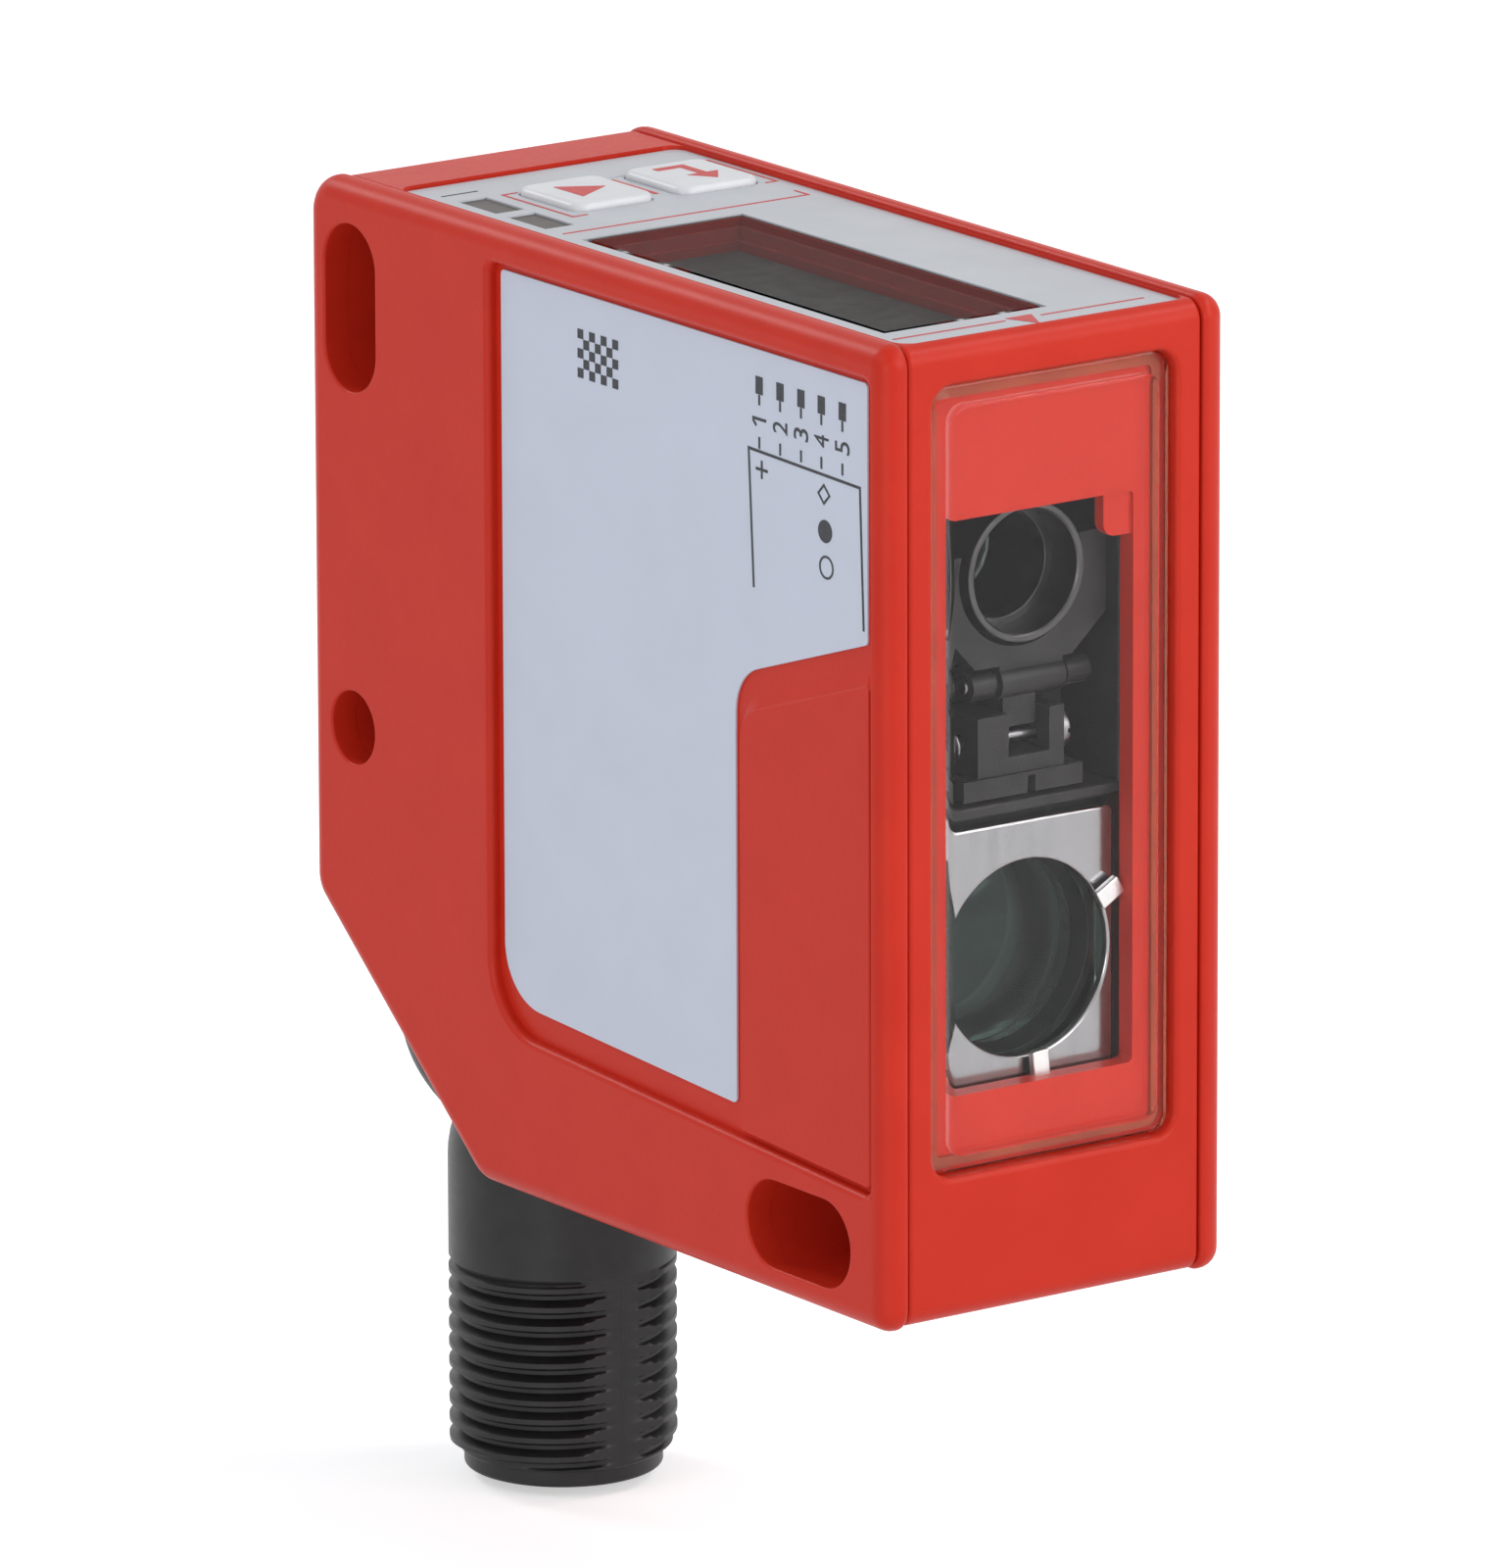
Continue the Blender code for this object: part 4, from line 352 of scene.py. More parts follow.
slots = {
    "redPlastic": "red_housing",
    "blackPlastic": "black_plastic",
    "darkChassis": "black_plastic",
    "darkTube": "black_plastic",
    "steel": "bright_metal",
    "brightPlate": "bright_metal",
    "clipMetalAndLensGlint": "bright_metal",
    "filterGlass": "lens_glass",
    "lensGlass": "lens_glass",
    "windowPlastic": "clear_plastic",
    "labelGrey": "label_grey",
    "foilGrey": "foil_grey",
    "keyPlastic": "key_white",
    "goldContact": "contact_metal",
    "rubberBlack": "seal_rubber",
}


def finishPiece(piece, finish, replaced=(), body="housing", smooth=40, slot=None):
    # to metres, with flat large faces and even normals, then tied to its body, with the drawn pieces it replaces
    # hidden
    slot = slot or slots[finish]
    piece.data.transform(Matrix.Scale(0.001, 4))
    piece.data.materials.clear()
    piece.data.materials.append(finishes[finish])
    piece.data.shade_smooth()
    for face in piece.data.polygons:
        if len(face.vertices) > manyCorners or face.area > largeFace:
            face.use_smooth = False
    piece.data.set_sharp_from_angle(angle=math.radians(smooth))
    evenNormals = piece.modifiers.new("evenNormals", "WEIGHTED_NORMAL")
    evenNormals.keep_sharp = True
    bake(piece)
    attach(piece, body)
    if replaced:
        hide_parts(*replaced)
    return piece


print("drawing tools ready")


# materials

class Recipe:
    # a material's node tree, built a step at a time
    def __init__(self, name):
        self.material = bpy.data.materials.new(name)
        self.material.use_nodes = True
        self.tree = self.material.node_tree
        self.shader = self.tree.nodes["Principled BSDF"]
        self.place = self.tree.nodes.new("ShaderNodeTexCoord").outputs["Object"]

    def add(self, kind, **values):
        node = self.tree.nodes.new(kind)
        for key, value in values.items():
            if key in node.inputs:
                node.inputs[key].default_value = value
            else:
                setattr(node, key, value)
        return node

    def link(self, source, target):
        self.tree.links.new(source, target)

    def noise(self, scale, detail=2.0, roughness=0.5, stretch=None):
        node = self.add("ShaderNodeTexNoise", Scale=scale, Detail=detail, Roughness=roughness)
        place = self.place
        if stretch:
            mapping = self.add("ShaderNodeMapping")
            mapping.inputs["Scale"].default_value = stretch
            self.link(place, mapping.inputs["Vector"])
            place = mapping.outputs["Vector"]
        self.link(place, node.inputs["Vector"])
        return node.outputs["Fac"]

    def ramp(self, value, stops):
        node = self.add("ShaderNodeValToRGB")
        while len(node.color_ramp.elements) < len(stops):
            node.color_ramp.elements.new(0.5)
        for element, (position, colour) in zip(node.color_ramp.elements, stops):
            element.position = position
            element.color = (*colour, 1.0)
        self.link(value, node.inputs["Fac"])
        return node.outputs["Color"]

    def tone(self, value, darker, lighter, low, high):
        # uneven colour between two tones
        self.link(self.ramp(value, [(low, darker), (high, lighter)]), self.shader.inputs["Base Color"])

    def gloss(self, value, low, high):
        # uneven roughness between two values
        node = self.add("ShaderNodeMapRange")
        node.inputs["To Min"].default_value = low
        node.inputs["To Max"].default_value = high
        self.link(value, node.inputs["Value"])
        self.link(node.outputs["Result"], self.shader.inputs["Roughness"])

    def bump(self, height, strength, distance):
        node = self.add("ShaderNodeBump", Strength=strength, Distance=distance)
        self.link(height, node.inputs["Height"])
        self.link(node.outputs["Normal"], self.shader.inputs["Normal"])

    def settle(self, **values):
        for key, value in values.items():
            self.shader.inputs[key].default_value = value
        return self.material


def mouldedPlastic(name, darker, lighter, patchScale, grain, rough, sheen):
    # satin plastic with a fine grain and faint uneven colour
    recipe = Recipe(name)
    recipe.tone(recipe.noise(patchScale, 3.0), darker, lighter, 0.3, 0.7)
    grainScale, strength, depth = grain
    height = recipe.noise(grainScale, 2.0, 0.6)
    recipe.gloss(height, *rough)
    recipe.bump(height, strength, depth)
    return recipe.settle(**{"Specular IOR Level": sheen})


def clearPane(name, tint, tintAway, bending, hazeScale, rough):
    # clear plastic or glass with a faint tint and a sharp gloss
    recipe = Recipe(name)
    haze = recipe.noise(hazeScale, 3.0)
    recipe.gloss(haze, 0.0, rough)
    recipe.tone(haze, tint, tintAway, 0.2, 0.8)
    return recipe.settle(**{"Transmission Weight": 1.0, "IOR": bending})


def metalFinish(name, darker, lighter, lineScale, stretch, strength, rough):
    # plated or turned metal with fine drawn lines
    recipe = Recipe(name)
    lines = recipe.noise(lineScale, 2.0, 0.5, stretch)
    recipe.tone(lines, darker, lighter, 0.25, 0.75)
    recipe.gloss(lines, *rough)
    recipe.bump(lines, strength, 0.000004)
    return recipe.settle(Metallic=1.0)


plastics = {
    # name: darker and lighter tone, patch scale, grain scale, strength and depth, roughness, sheen
    "redPlastic": ((0.545, 0.023, 0.009), (0.575, 0.027, 0.011), 260.0, (3600.0, 0.45, 0.00002), (0.34, 0.46), 0.19),
    "blackPlastic": ((0.008, 0.008, 0.009), (0.015, 0.015, 0.016), 600.0, (2600.0, 0.06, 0.00002), (0.34, 0.46), 0.35),
    "darkChassis": ((0.014, 0.014, 0.015), (0.026, 0.026, 0.028), 700.0, (2600.0, 0.035, 0.00002), (0.4, 0.5), 0.3),
    "keyPlastic": ((0.66, 0.67, 0.69), (0.70, 0.71, 0.73), 500.0, (9000.0, 0.08, 0.00001), (0.30, 0.42), 0.5),
    "foilGrey": ((0.47, 0.49, 0.52), (0.51, 0.53, 0.56), 300.0, (6000.0, 0.05, 0.00001), (0.30, 0.42), 0.35),
    "labelGrey": ((0.565, 0.605, 0.70), (0.585, 0.625, 0.725), 260.0, (6000.0, 0.04, 0.00001), (0.42, 0.52), 0.25),
    "printBlack": ((0.020, 0.022, 0.028), (0.035, 0.037, 0.043), 4000.0, (9000.0, 0.05, 0.00001), (0.45, 0.55), 0.4),
    "printRedAndValleyShade": ((0.50, 0.030, 0.030), (0.56, 0.040, 0.036), 4000.0, (9000.0, 0.05, 0.00001), (0.40, 0.50), 0.4),
    "amberSeal": ((0.30, 0.045, 0.016), (0.40, 0.065, 0.024), 400.0, (3000.0, 0.05, 0.00001), (0.45, 0.6), 0.3),
    "rubberBlack": ((0.012, 0.012, 0.012), (0.022, 0.022, 0.022), 500.0, (6000.0, 0.2, 0.00001), (0.6, 0.8), 0.3),
    "boardGreen": ((0.010, 0.075, 0.035), (0.018, 0.115, 0.055), 400.0, (5000.0, 0.1, 0.00001), (0.35, 0.5), 0.5),
    "displayGlass": ((0.075, 0.075, 0.078), (0.155, 0.155, 0.160), 900.0, (2500.0, 0.3, 0.00002), (0.35, 0.55), 0.35),
    "smokedLight": ((0.030, 0.022, 0.018), (0.050, 0.038, 0.032), 900.0, (1500.0, 0.02, 0.00001), (0.3, 0.36), 0.2),
}
panes = {
    # name: tint and further tint, light bending, haze scale, roughness
    "windowPlastic": ((0.98, 0.96, 0.95), (1.0, 0.985, 0.98), 1.22, 300.0, 0.02),
    "filterGlass": ((0.52, 0.64, 0.60), (0.58, 0.70, 0.66), 1.16, 300.0, 0.01),
    "lensGlass": ((0.78, 0.86, 0.84), (0.84, 0.92, 0.90), 1.38, 300.0, 0.01),
    "clearCover": ((0.42, 0.42, 0.41), (0.46, 0.46, 0.45), 1.03, 400.0, 0.02),
}
metals = {
    # name: darker and lighter tone, line scale, its stretch, strength, roughness
    "brightPlate": ((0.29, 0.295, 0.305), (0.35, 0.355, 0.365), 900.0, (1.0, 1.0, 0.1), 0.15, (0.12, 0.22)),
    "clipMetalAndLensGlint": ((0.74, 0.75, 0.75), (0.86, 0.87, 0.87), 1400.0, (1.0, 1.0, 0.4), 0.25, (0.28, 0.42)),
    "goldContact": ((0.70, 0.50, 0.20), (0.80, 0.60, 0.26), 1500.0, (1.0, 1.0, 0.2), 0.1, (0.18, 0.3)),
    "darkTube": ((0.075, 0.076, 0.078), (0.105, 0.106, 0.108), 1200.0, (1.0, 0.2, 1.0), 0.1, (0.30, 0.42)),
    "steel": ((0.20, 0.20, 0.21), (0.28, 0.28, 0.29), 1500.0, (0.2, 1.0, 1.0), 0.1, (0.26, 0.38)),
}
for recipes, make in ((plastics, mouldedPlastic), (panes, clearPane), (metals, metalFinish)):
    for name, values in recipes.items():
        finishes[name] = make(name, *values)
print("materials ready")


# housing

def sideOutline():
    # the housing from the side, anticlockwise from its lower front corner
    rearY, bottomZ = -frontY, -topZ
    front, rear = housing["frontCorner"], housing["rearCorner"]
    return [
        (frontY, bottomZ, front),
        (rearY - housing["chamferLength"], bottomZ, rear),
        (rearY, bottomZ + housing["chamferHeight"], rear),
        (rearY, topZ, rear),
        (frontY, topZ, front),
    ]


walls = {"front": 2.6, "top": 2.6, "rear": 1.8, "bottom": 1.8, "chamfer": 2.0, "boss": 1.2}
cavity = insetOutline(sideOutline(), [walls[side] for side in ("bottom", "chamfer", "rear", "top", "front")])

mounting = {
    "slotWidth": 4.5,
    "slotLength": 8.7,
    "uprightSlot": (46.1, 6.45),
    "levelSlot": (7.4, 46.3),
    "roundHole": (46.1, 28.4),
    "roundDiameter": 3.8,
}


def mountingOutlines(margin=0.0):
    width, length = mounting["slotWidth"] + 2 * margin, mounting["slotLength"] + 2 * margin
    hole = mounting["roundDiameter"] + 2 * margin
    sizes = {"uprightSlot": (width, length), "levelSlot": (length, width), "roundHole": (hole, hole)}
    outlines = []
    for name, (sizeY, sizeZ) in sizes.items():
        back, down = mounting[name]
        outlines.append(rectangle(fromFront(back), fromTop(down), sizeY, sizeZ, min(sizeY, sizeZ) / 2))
    return outlines


def mountingHoles():
    return [plate("mountingHole", [corners], -housing["width"] - past, past, "side")
            for corners in mountingOutlines()]


labelRecess = {
    "depth": 0.6,
    "front": 1.4,
    "rear": 33.9,
    "top": 1.8,
    "bottomRear": 41.4,
    "bottomFront": 43.1,
    "corner": 3.8,
    "smallCorner": 0.6,
    "stepDown": 15.0,
    "stepBack": 13.2,
    "stepSlope": math.radians(18.5),
    "stepCorner": 2.6,
    "padGap": 1.1,
    "padMargin": 0.3,
    "padRise": 0.35,
    "padRamp": 0.85,
    "padEdge": 0.08,
    "padRoot": 0.4,
    "padCorner": 0.25,
    "padStepCorner": 2.08,
    "lipRound": 0.35,
    "holeRound": 0.16,
}


def recessBottom(back):
    share = (back - labelRecess["front"]) / (labelRecess["rear"] - labelRecess["front"])
    return labelRecess["bottomFront"] + share * (labelRecess["bottomRear"] - labelRecess["bottomFront"])


def stepDown(back):
    return labelRecess["stepDown"] + (back - labelRecess["front"]) * math.tan(labelRecess["stepSlope"])


def coverLip(low, high):
    # the rim inside a cover that guides it into the frame
    gap = housing["seatGap"]
    outlines = [insetOutline(cavity, gap), insetOutline(cavity, gap + housing["lipWall"])]
    lip = plate("coverLip", outlines, low, high, "side")
    for corners in mountingOutlines(walls["boss"] + gap):
        carve(lip, plate("bossRoom", [corners], low - past, high + past, "side"))
    return lip


def makeLeftCover():
    outer, inner = -housing["width"], fromLabel(housing["coverThickness"])
    cover = plate("leftCover", [sideOutline()], outer, inner, "side")
    roundRim(cover, "side", outer, housing["coverEdge"], 8)
    roundRim(cover, "side", inner, housing["seamRound"], 4)
    front, rear = fromFront(labelRecess["front"]), fromFront(labelRecess["rear"])
    small = labelRecess["smallCorner"]
    corners = [
        (front, fromTop(labelRecess["bottomFront"]), small),
        (rear, fromTop(labelRecess["bottomRear"]), labelRecess["corner"]),
        (rear, fromTop(labelRecess["top"]), small),
        (front, fromTop(labelRecess["top"]), small),
    ]
    floor = fromLabel(labelRecess["depth"])
    carve(cover, plate("labelRecess", [corners], outer - past, floor, "side"))
    roundRim(cover, "side", outer, labelRecess["lipRound"], 5)
    margin, round = labelRecess["padMargin"], labelRecess["padCorner"]
    padFront, padRear = labelRecess["front"] + margin, labelRecess["stepBack"] - labelRecess["padGap"] / 2
    drop = labelRecess["padGap"] / math.cos(labelRecess["stepSlope"])
    pad = [
        (fromFront(padFront), fromTop(recessBottom(padFront) - margin), round),
        (fromFront(padRear), fromTop(recessBottom(padRear) - margin), round),
        (fromFront(padRear), fromTop(stepDown(padRear) + drop), labelRecess["padStepCorner"]),
        (fromFront(padFront), fromTop(stepDown(padFront) + drop), round),
    ]
    padTop = floor - labelRecess["padRise"]
    half = (pad[0][1] + pad[3][1]) / 2
    edge = labelRecess["padEdge"]
    below, above, inside = [roundCorners(insetOutline(pad, inset)) for inset in (0.0, 0.0, edge)]
    for outline in (above, inside):
        for point in outline:
            if point.y > half:
                point.y -= labelRecess["padRamp"]
    rows = [(inside, padTop), (above, padTop + edge), (below, floor), (below, floor + labelRecess["padRoot"])]
    weld(cover, layered("labelPad", rows, "side"))
    carve(cover, *mountingHoles())
    roundRim(cover, "side", outer, labelRecess["holeRound"], 4)
    cover = gather(cover, coverLip(inner - housing["lipRoot"], inner + housing["lipReach"]))
    return finishPiece(cover, "redPlastic", ["left_cover"])


def makeRightCover():
    inner = -housing["coverThickness"]
    cover = plate("rightCover", [sideOutline()], inner, 0.0, "side")
    roundRim(cover, "side", 0.0, housing["coverEdge"], 8)
    roundRim(cover, "side", inner, housing["seamRound"], 4)
    carve(cover, *mountingHoles())
    roundRim(cover, "side", 0.0, labelRecess["holeRound"], 4)
    cover = gather(cover, coverLip(inner - housing["lipReach"], inner + housing["lipRoot"]))
    return finishPiece(cover, "redPlastic", ["right_cover"])


window = {
    "width": 14.85,
    "height": 40.1,
    "down": 2.4,
    "corner": 1.2,
    "recess": 1.5,
    "rimRound": 0.35,
    "flange": 0.6,
    "paneStep": 1.0,
    "paneRise": 0.45,
    "paneBack": 0.1,
    "paneRound": 0.25,
    "paneCorner": 0.9,
    "flangeGap": 0.2,
    "flangeEdge": 0.08,
    "openingWidth": 11.1,
    "openingHeight": 29.2,
    "openingDown": 9.5,
    "openingCorner": 0.3,
    "tabWidth": 1.7,
    "tabHeight": 2.2,
    "tabCorner": 0.7,
    "tabInset": 0.2,
    "tabRoot": 0.3,
}
panel = {
    "foilDown": 0.35,
    "foilThickness": 0.2,
    "foilFront": 1.0,
    "foilRear": 44.4,
    "foilCorner": 0.9,
    "display": (3.1, 4.3, 9.9, 25.7),
    "displayLedge": 0.8,
    "displaySteps": ((0.15, 1.1), (0.45, 1.7)),
    "foilBorder": 0.25,
    "foilGap": 0.15,
    "foilSideGap": 0.28,
    "foilRoom": 0.05,
    "foilEdge": 0.05,
    "keySize": (5.0, 5.5),
    "keyBack": 37.8,
    "keys": {"upKey": 8.9, "selectKey": 15.4},
    "keyCorner": 0.8,
    "keyRise": 0.4,
    "keyRound": 0.36,
    "keyFlange": 0.4,
    "keyOverlap": 0.2,
    "keyGap": 0.06,
    "lightGap": 0.02,
    "lightRoom": 0.05,
    "lightSize": (1.7, 3.4),
    "lightAcross": 3.9,
    "lights": {"frontStatusLight": 34.7, "rearStatusLight": 39.05},
}


def windowOutline():
    middle = fromTop(window["down"] + window["height"] / 2)
    return rectangle(midX, middle, window["width"], window["height"], window["corner"])


def displayOutline(step=0.0, corner=0.0):
    across, back, width, length = panel["display"]
    outline = rectangle(fromLabel(across) + width / 2, fromFront(back) + length / 2, width, length, corner + step)
    return insetOutline(outline, step)


def keyOutline(across, step=0.0):
    return insetOutline(rectangle(fromLabel(across), fromFront(panel["keyBack"]), *panel["keySize"],
                                  panel["keyCorner"]), step)


def lightOutline(back, step=0.0):
    return insetOutline(rectangle(fromLabel(panel["lightAcross"]), fromFront(back), *panel["lightSize"]), step)


def makeHousingFrame():
    gap, seam = housing["seatGap"], housing["seam"]
    left = fromLabel(housing["coverThickness"]) + seam
    right = -housing["coverThickness"] - seam
    shell = insetOutline(sideOutline(), housing["frameStep"])
    body = plate("housingFrame", [shell, cavity], left, right, "side")
    for level in (left, right):
        roundRim(body, "side", level, housing["seamRound"], 4)

    low, high = fromTop(walls["top"]) - past, topZ + past
    foilFloor = fromTop(panel["foilDown"] + panel["foilThickness"] + panel["foilRoom"])
    foilBack, foilFront = fromFront(panel["foilRear"]), fromFront(panel["foilFront"])
    foilWidth = right - left - 2 * panel["foilBorder"]
    recess = rectangle((left + right) / 2, (foilFront + foilBack) / 2, foilWidth, foilBack - foilFront,
                       panel["foilCorner"])
    carve(body, plate("foilRecess", [recess], foilFloor, high, "top"))
    for inset, down in panel["displaySteps"]:
        carve(body, plate("displayStep", [displayOutline(inset)], fromTop(down), high, "top"))
    carve(body, plate("displayHole", [displayOutline(panel["displayLedge"])], low, high, "top"))
    for across in panel["keys"].values():
        carve(body, plate("keyHole", [keyOutline(across, -gap)], low, high, "top"))
    for back in panel["lights"].values():
        carve(body, plate("lightHole", [lightOutline(back, -panel["lightRoom"])], low, high, "top"))

    outside, inside = frontY - past, fromFront(walls["front"]) + past
    carve(body, plate("windowRecess", [windowOutline()], outside, fromFront(window["recess"]), "front"))
    middle = fromTop(window["openingDown"] + window["openingHeight"] / 2)
    opening = rectangle(midX, middle, window["openingWidth"], window["openingHeight"], window["openingCorner"])
    carve(body, plate("windowOpening", [opening], outside, inside, "front"))
    tabRight, tabTop = midX + window["openingWidth"] / 2, fromTop(window["openingDown"])
    tabLeft, tabBottom, root = tabRight - window["tabWidth"], tabTop - window["tabHeight"], window["tabRoot"]
    tab = [
        (tabLeft, tabBottom, window["tabCorner"]),
        (tabRight + root, tabBottom, 0.0),
        (tabRight + root, tabTop + root, 0.0),
        (tabLeft, tabTop + root, 0.0),
    ]
    tabFront, tabBack = window["recess"] + window["tabInset"], walls["front"] - window["tabInset"]
    weld(body, plate("openingTab", [tab], fromFront(tabFront), fromFront(tabBack), "front"))
    carve(body, rod("swivelBore", housing["swivelBore"], *along(swivelPlace, -walls["chamfer"] - past, past)))
    roundRim(body, "front", fromFront(housing["frameStep"]), window["rimRound"], 5)
    soften(body, housing["smallRound"], 2)
    touch = seam * 0.6
    for corners in mountingOutlines(walls["boss"]):
        weld(body, plate("boss", [corners], left - touch, right + touch, "side"))
    carve(body, *mountingHoles())
    return finishPiece(body, "redPlastic", ["housing_frame"])


makeLeftCover()
makeRightCover()
makeHousingFrame()
print("housing ready")


def makeFrontWindow():
    front = window["paneBack"] + window["paneRise"]
    back, rounding, pane = front + window["flange"], window["paneRound"], window["paneStep"]
    edge, gap = window["flangeEdge"], window["flangeGap"]
    steps = [(gap + edge, back), (gap, back - edge), (gap, front + edge), (gap + edge, front), (pane, front)]
    for turn in (math.radians(15 * step) for step in range(7)):
        steps.append((pane + rounding * (1 - math.cos(turn)), window["paneBack"] + rounding * (1 - math.sin(turn))))
    middle = fromTop(window["down"] + window["height"] / 2)
    rows = []
    for inset, depth in steps:
        outline = rectangle(midX, middle, window["width"] - 2 * inset, window["height"] - 2 * inset,
                            window["paneCorner"])
        rows.append((roundCorners(outline), fromFront(depth)))
    body = layered("frontWindow", rows, "front")
    return finishPiece(body, "windowPlastic", ["front_window"])


makeFrontWindow()
print("window ready")


# side label and control panel

label = {
    "margin": 0.6,
    "frontMargin": 0.7,
    "bottomMargin": 1.5,
    "sunk": 0.02,
    "thickness": 0.12,
    "edge": 0.3,
    "rim": 0.04,
}


def makeSideLabel():
    front, rear = labelRecess["front"] + label["frontMargin"], labelRecess["rear"] - label["margin"]
    step, edge = labelRecess["stepBack"], label["edge"]
    top = fromTop(labelRecess["top"] + label["margin"] / 2)
    corners = [
        (fromFront(step), fromTop(recessBottom(step) - label["bottomMargin"]), edge),
        (fromFront(rear), fromTop(recessBottom(rear) - label["bottomMargin"]), labelRecess["corner"] - 0.6),
        (fromFront(rear), top, edge),
        (fromFront(front), top, edge),
        (fromFront(front), fromTop(stepDown(front)), edge),
        (fromFront(step), fromTop(stepDown(step)), labelRecess["stepCorner"]),
    ]
    floor = fromLabel(labelRecess["depth"] - label["sunk"])
    foil = plate("sideLabel", [corners], floor - label["thickness"], floor, "side")
    roundRim(foil, "side", floor - label["thickness"], label["rim"], 2)
    return finishPiece(foil, "labelGrey", ["side_label"])


def makePanelOverlay():
    side, gap = housing["coverThickness"] + panel["foilSideGap"], panel["foilGap"]
    left, right = fromLabel(side), -side
    foilFront, foilBack = fromFront(panel["foilFront"] + gap), fromFront(panel["foilRear"] - gap)
    outlines = [rectangle((left + right) / 2, (foilFront + foilBack) / 2, right - left, foilBack - foilFront,
                          panel["foilCorner"] - 0.1), displayOutline()]
    outlines += [keyOutline(across, -panel["keyGap"]) for across in panel["keys"].values()]
    outlines += [lightOutline(back, -panel["lightGap"]) for back in panel["lights"].values()]
    top = fromTop(panel["foilDown"])
    foil = plate("panelOverlay", outlines, top - panel["foilThickness"], top, "top")
    roundRim(foil, "top", top, panel["foilEdge"], 2)
    return finishPiece(foil, "foilGrey", ["panel_overlay"])


def makeKey(name, node):
    top = fromTop(panel["foilDown"]) + panel["keyRise"]
    flangeTop = fromTop(walls["top"] + housing["seatGap"])
    across, wide = panel["keys"][name], panel["keyFlange"]
    cap = plate(name, [keyOutline(across)], flangeTop - panel["keyOverlap"], top, "top")
    roundRim(cap, "top", top, panel["keyRound"], 6)
    flange = plate("keyFlange", [keyOutline(across, -wide)], flangeTop - wide, flangeTop, "top")
    cap = gather(cap, flange)
    return finishPiece(cap, "keyPlastic", [node], node + "_cap")


makeSideLabel()
makePanelOverlay()
makeKey("upKey", "up_key")
makeKey("selectKey", "select_key")
print("label and panel ready")


# printed marks: thin ink on the label, the foil and the keys, and one line of painted shade between the keys

ink = {
    "rise": 0.02,
    "fine": 0.15,
    "medium": 0.25,
    "wires": (11.1, 9.35, 7.6, 5.9, 4.15),
    "barWidth": 0.6,
    "numeralDown": 5.7,
    "numeralSize": (0.62, 1.2),
    "cell": 0.5,
    "cells": (7, 5),
    "cellsBack": 23.1,
    "cellsDown": 3.9,
}


def stroke(points, width):
    # a bent line of even width as one outline with mitred corners
    places = [Vector(point) for point in points]
    leaving = [(after - place).normalized() for place, after in zip(places, places[1:])]
    leaving.append(leaving[-1])
    arriving = [leaving[0]] + leaving[:-1]
    left, right = [], []
    for place, before, after in zip(places, arriving, leaving):
        along = (before + after).normalized()
        side = Vector((-along.y, along.x)) * width / 2 / along.dot(after)
        left.append(place + side)
        right.insert(0, place - side)
    return [[(*place, 0.0) for place in left + right]]


def onLabel(points):
    return [(fromFront(back), fromTop(down)) for back, down in points]


def onPanel(points):
    return [(fromLabel(across), fromFront(back)) for across, back in points]


def filled(points):
    return [[(u, v, 0.0) for u, v in points]]


def numeral(text, back, down, low, high):
    # a number that reads upwards along the label, fitted to its size
    curve = bpy.data.curves.new("numeral", "FONT")
    curve.body = text
    curve.extrude = 0.1
    shape = shapeFrom(curve)
    lowest = [min(vert.co[axis] for vert in shape.verts) for axis in range(3)]
    spans = [max(vert.co[axis] for vert in shape.verts) - lowest[axis] for axis in range(3)]
    width, height = ink["numeralSize"]
    for vert in shape.verts:
        across, up, out = [(vert.co[axis] - lowest[axis]) / spans[axis] for axis in range(3)]
        vert.co = (high - (high - low) * out, fromFront(back) + (up - 0.5) * height,
                   fromTop(down) + (across - 0.5) * width)
    bmesh.ops.remove_doubles(shape, verts=shape.verts, dist=tinyStep / 5)
    return holdMesh("numeral", shape)


def printMarks(name, marks, low, facing, finish, body, slot, others=()):
    parts = [plate(name, outlines, low, low + ink["rise"], facing) for outlines in marks]
    return finishPiece(gather(*parts, *others), finish, body=body, slot=slot)


wireStubs = ((4.37, 4.9), (6.5, 7.1))
# lines as (back, down) on the label and as (across, back) on the panel
labelLines = (
    ((11.6, 14.2), (12.0, 7.2), (2.7, 7.45), (2.4, 14.6)),
    ((ink["wires"][0] - 0.58, 5.6), (ink["wires"][0] + 0.58, 5.6)),
    ((ink["wires"][0] + 0.54, 5.69), (ink["wires"][0] + 0.25, 5.95)),
    ((10.9, 7.66), (10.9, 8.04)),
    ((10.9, 8.2), (10.9, 8.58)),
    ((10.4, 8.12), (11.4, 8.12)),
)
panelLines = (
    ((6.6, 34.4), (5.7, 34.4), (5.7, 40.6), (6.6, 40.6)),
    ((18.05, 35.0), (18.75, 35.0), (18.75, 41.0), (18.05, 41.0)),
    ((3.05, 31.5), (18.2, 31.5), (18.2, 32.7)),
    ((2.6, 2.9), (9.4, 2.9)),
    ((11.6, 2.9), (17.9, 2.9)),
)
# places and sizes of the diamond, the filled circle and the open circle
symbols = {"diamond": (5.7, 8.35, 0.55, 0.38), "disc": (5.6, 10.2, 1.16), "ring": (5.5, 12.0, 1.2, 0.96)}


def circle(place, width):
    return rectangle(*place, width, width, width / 2)


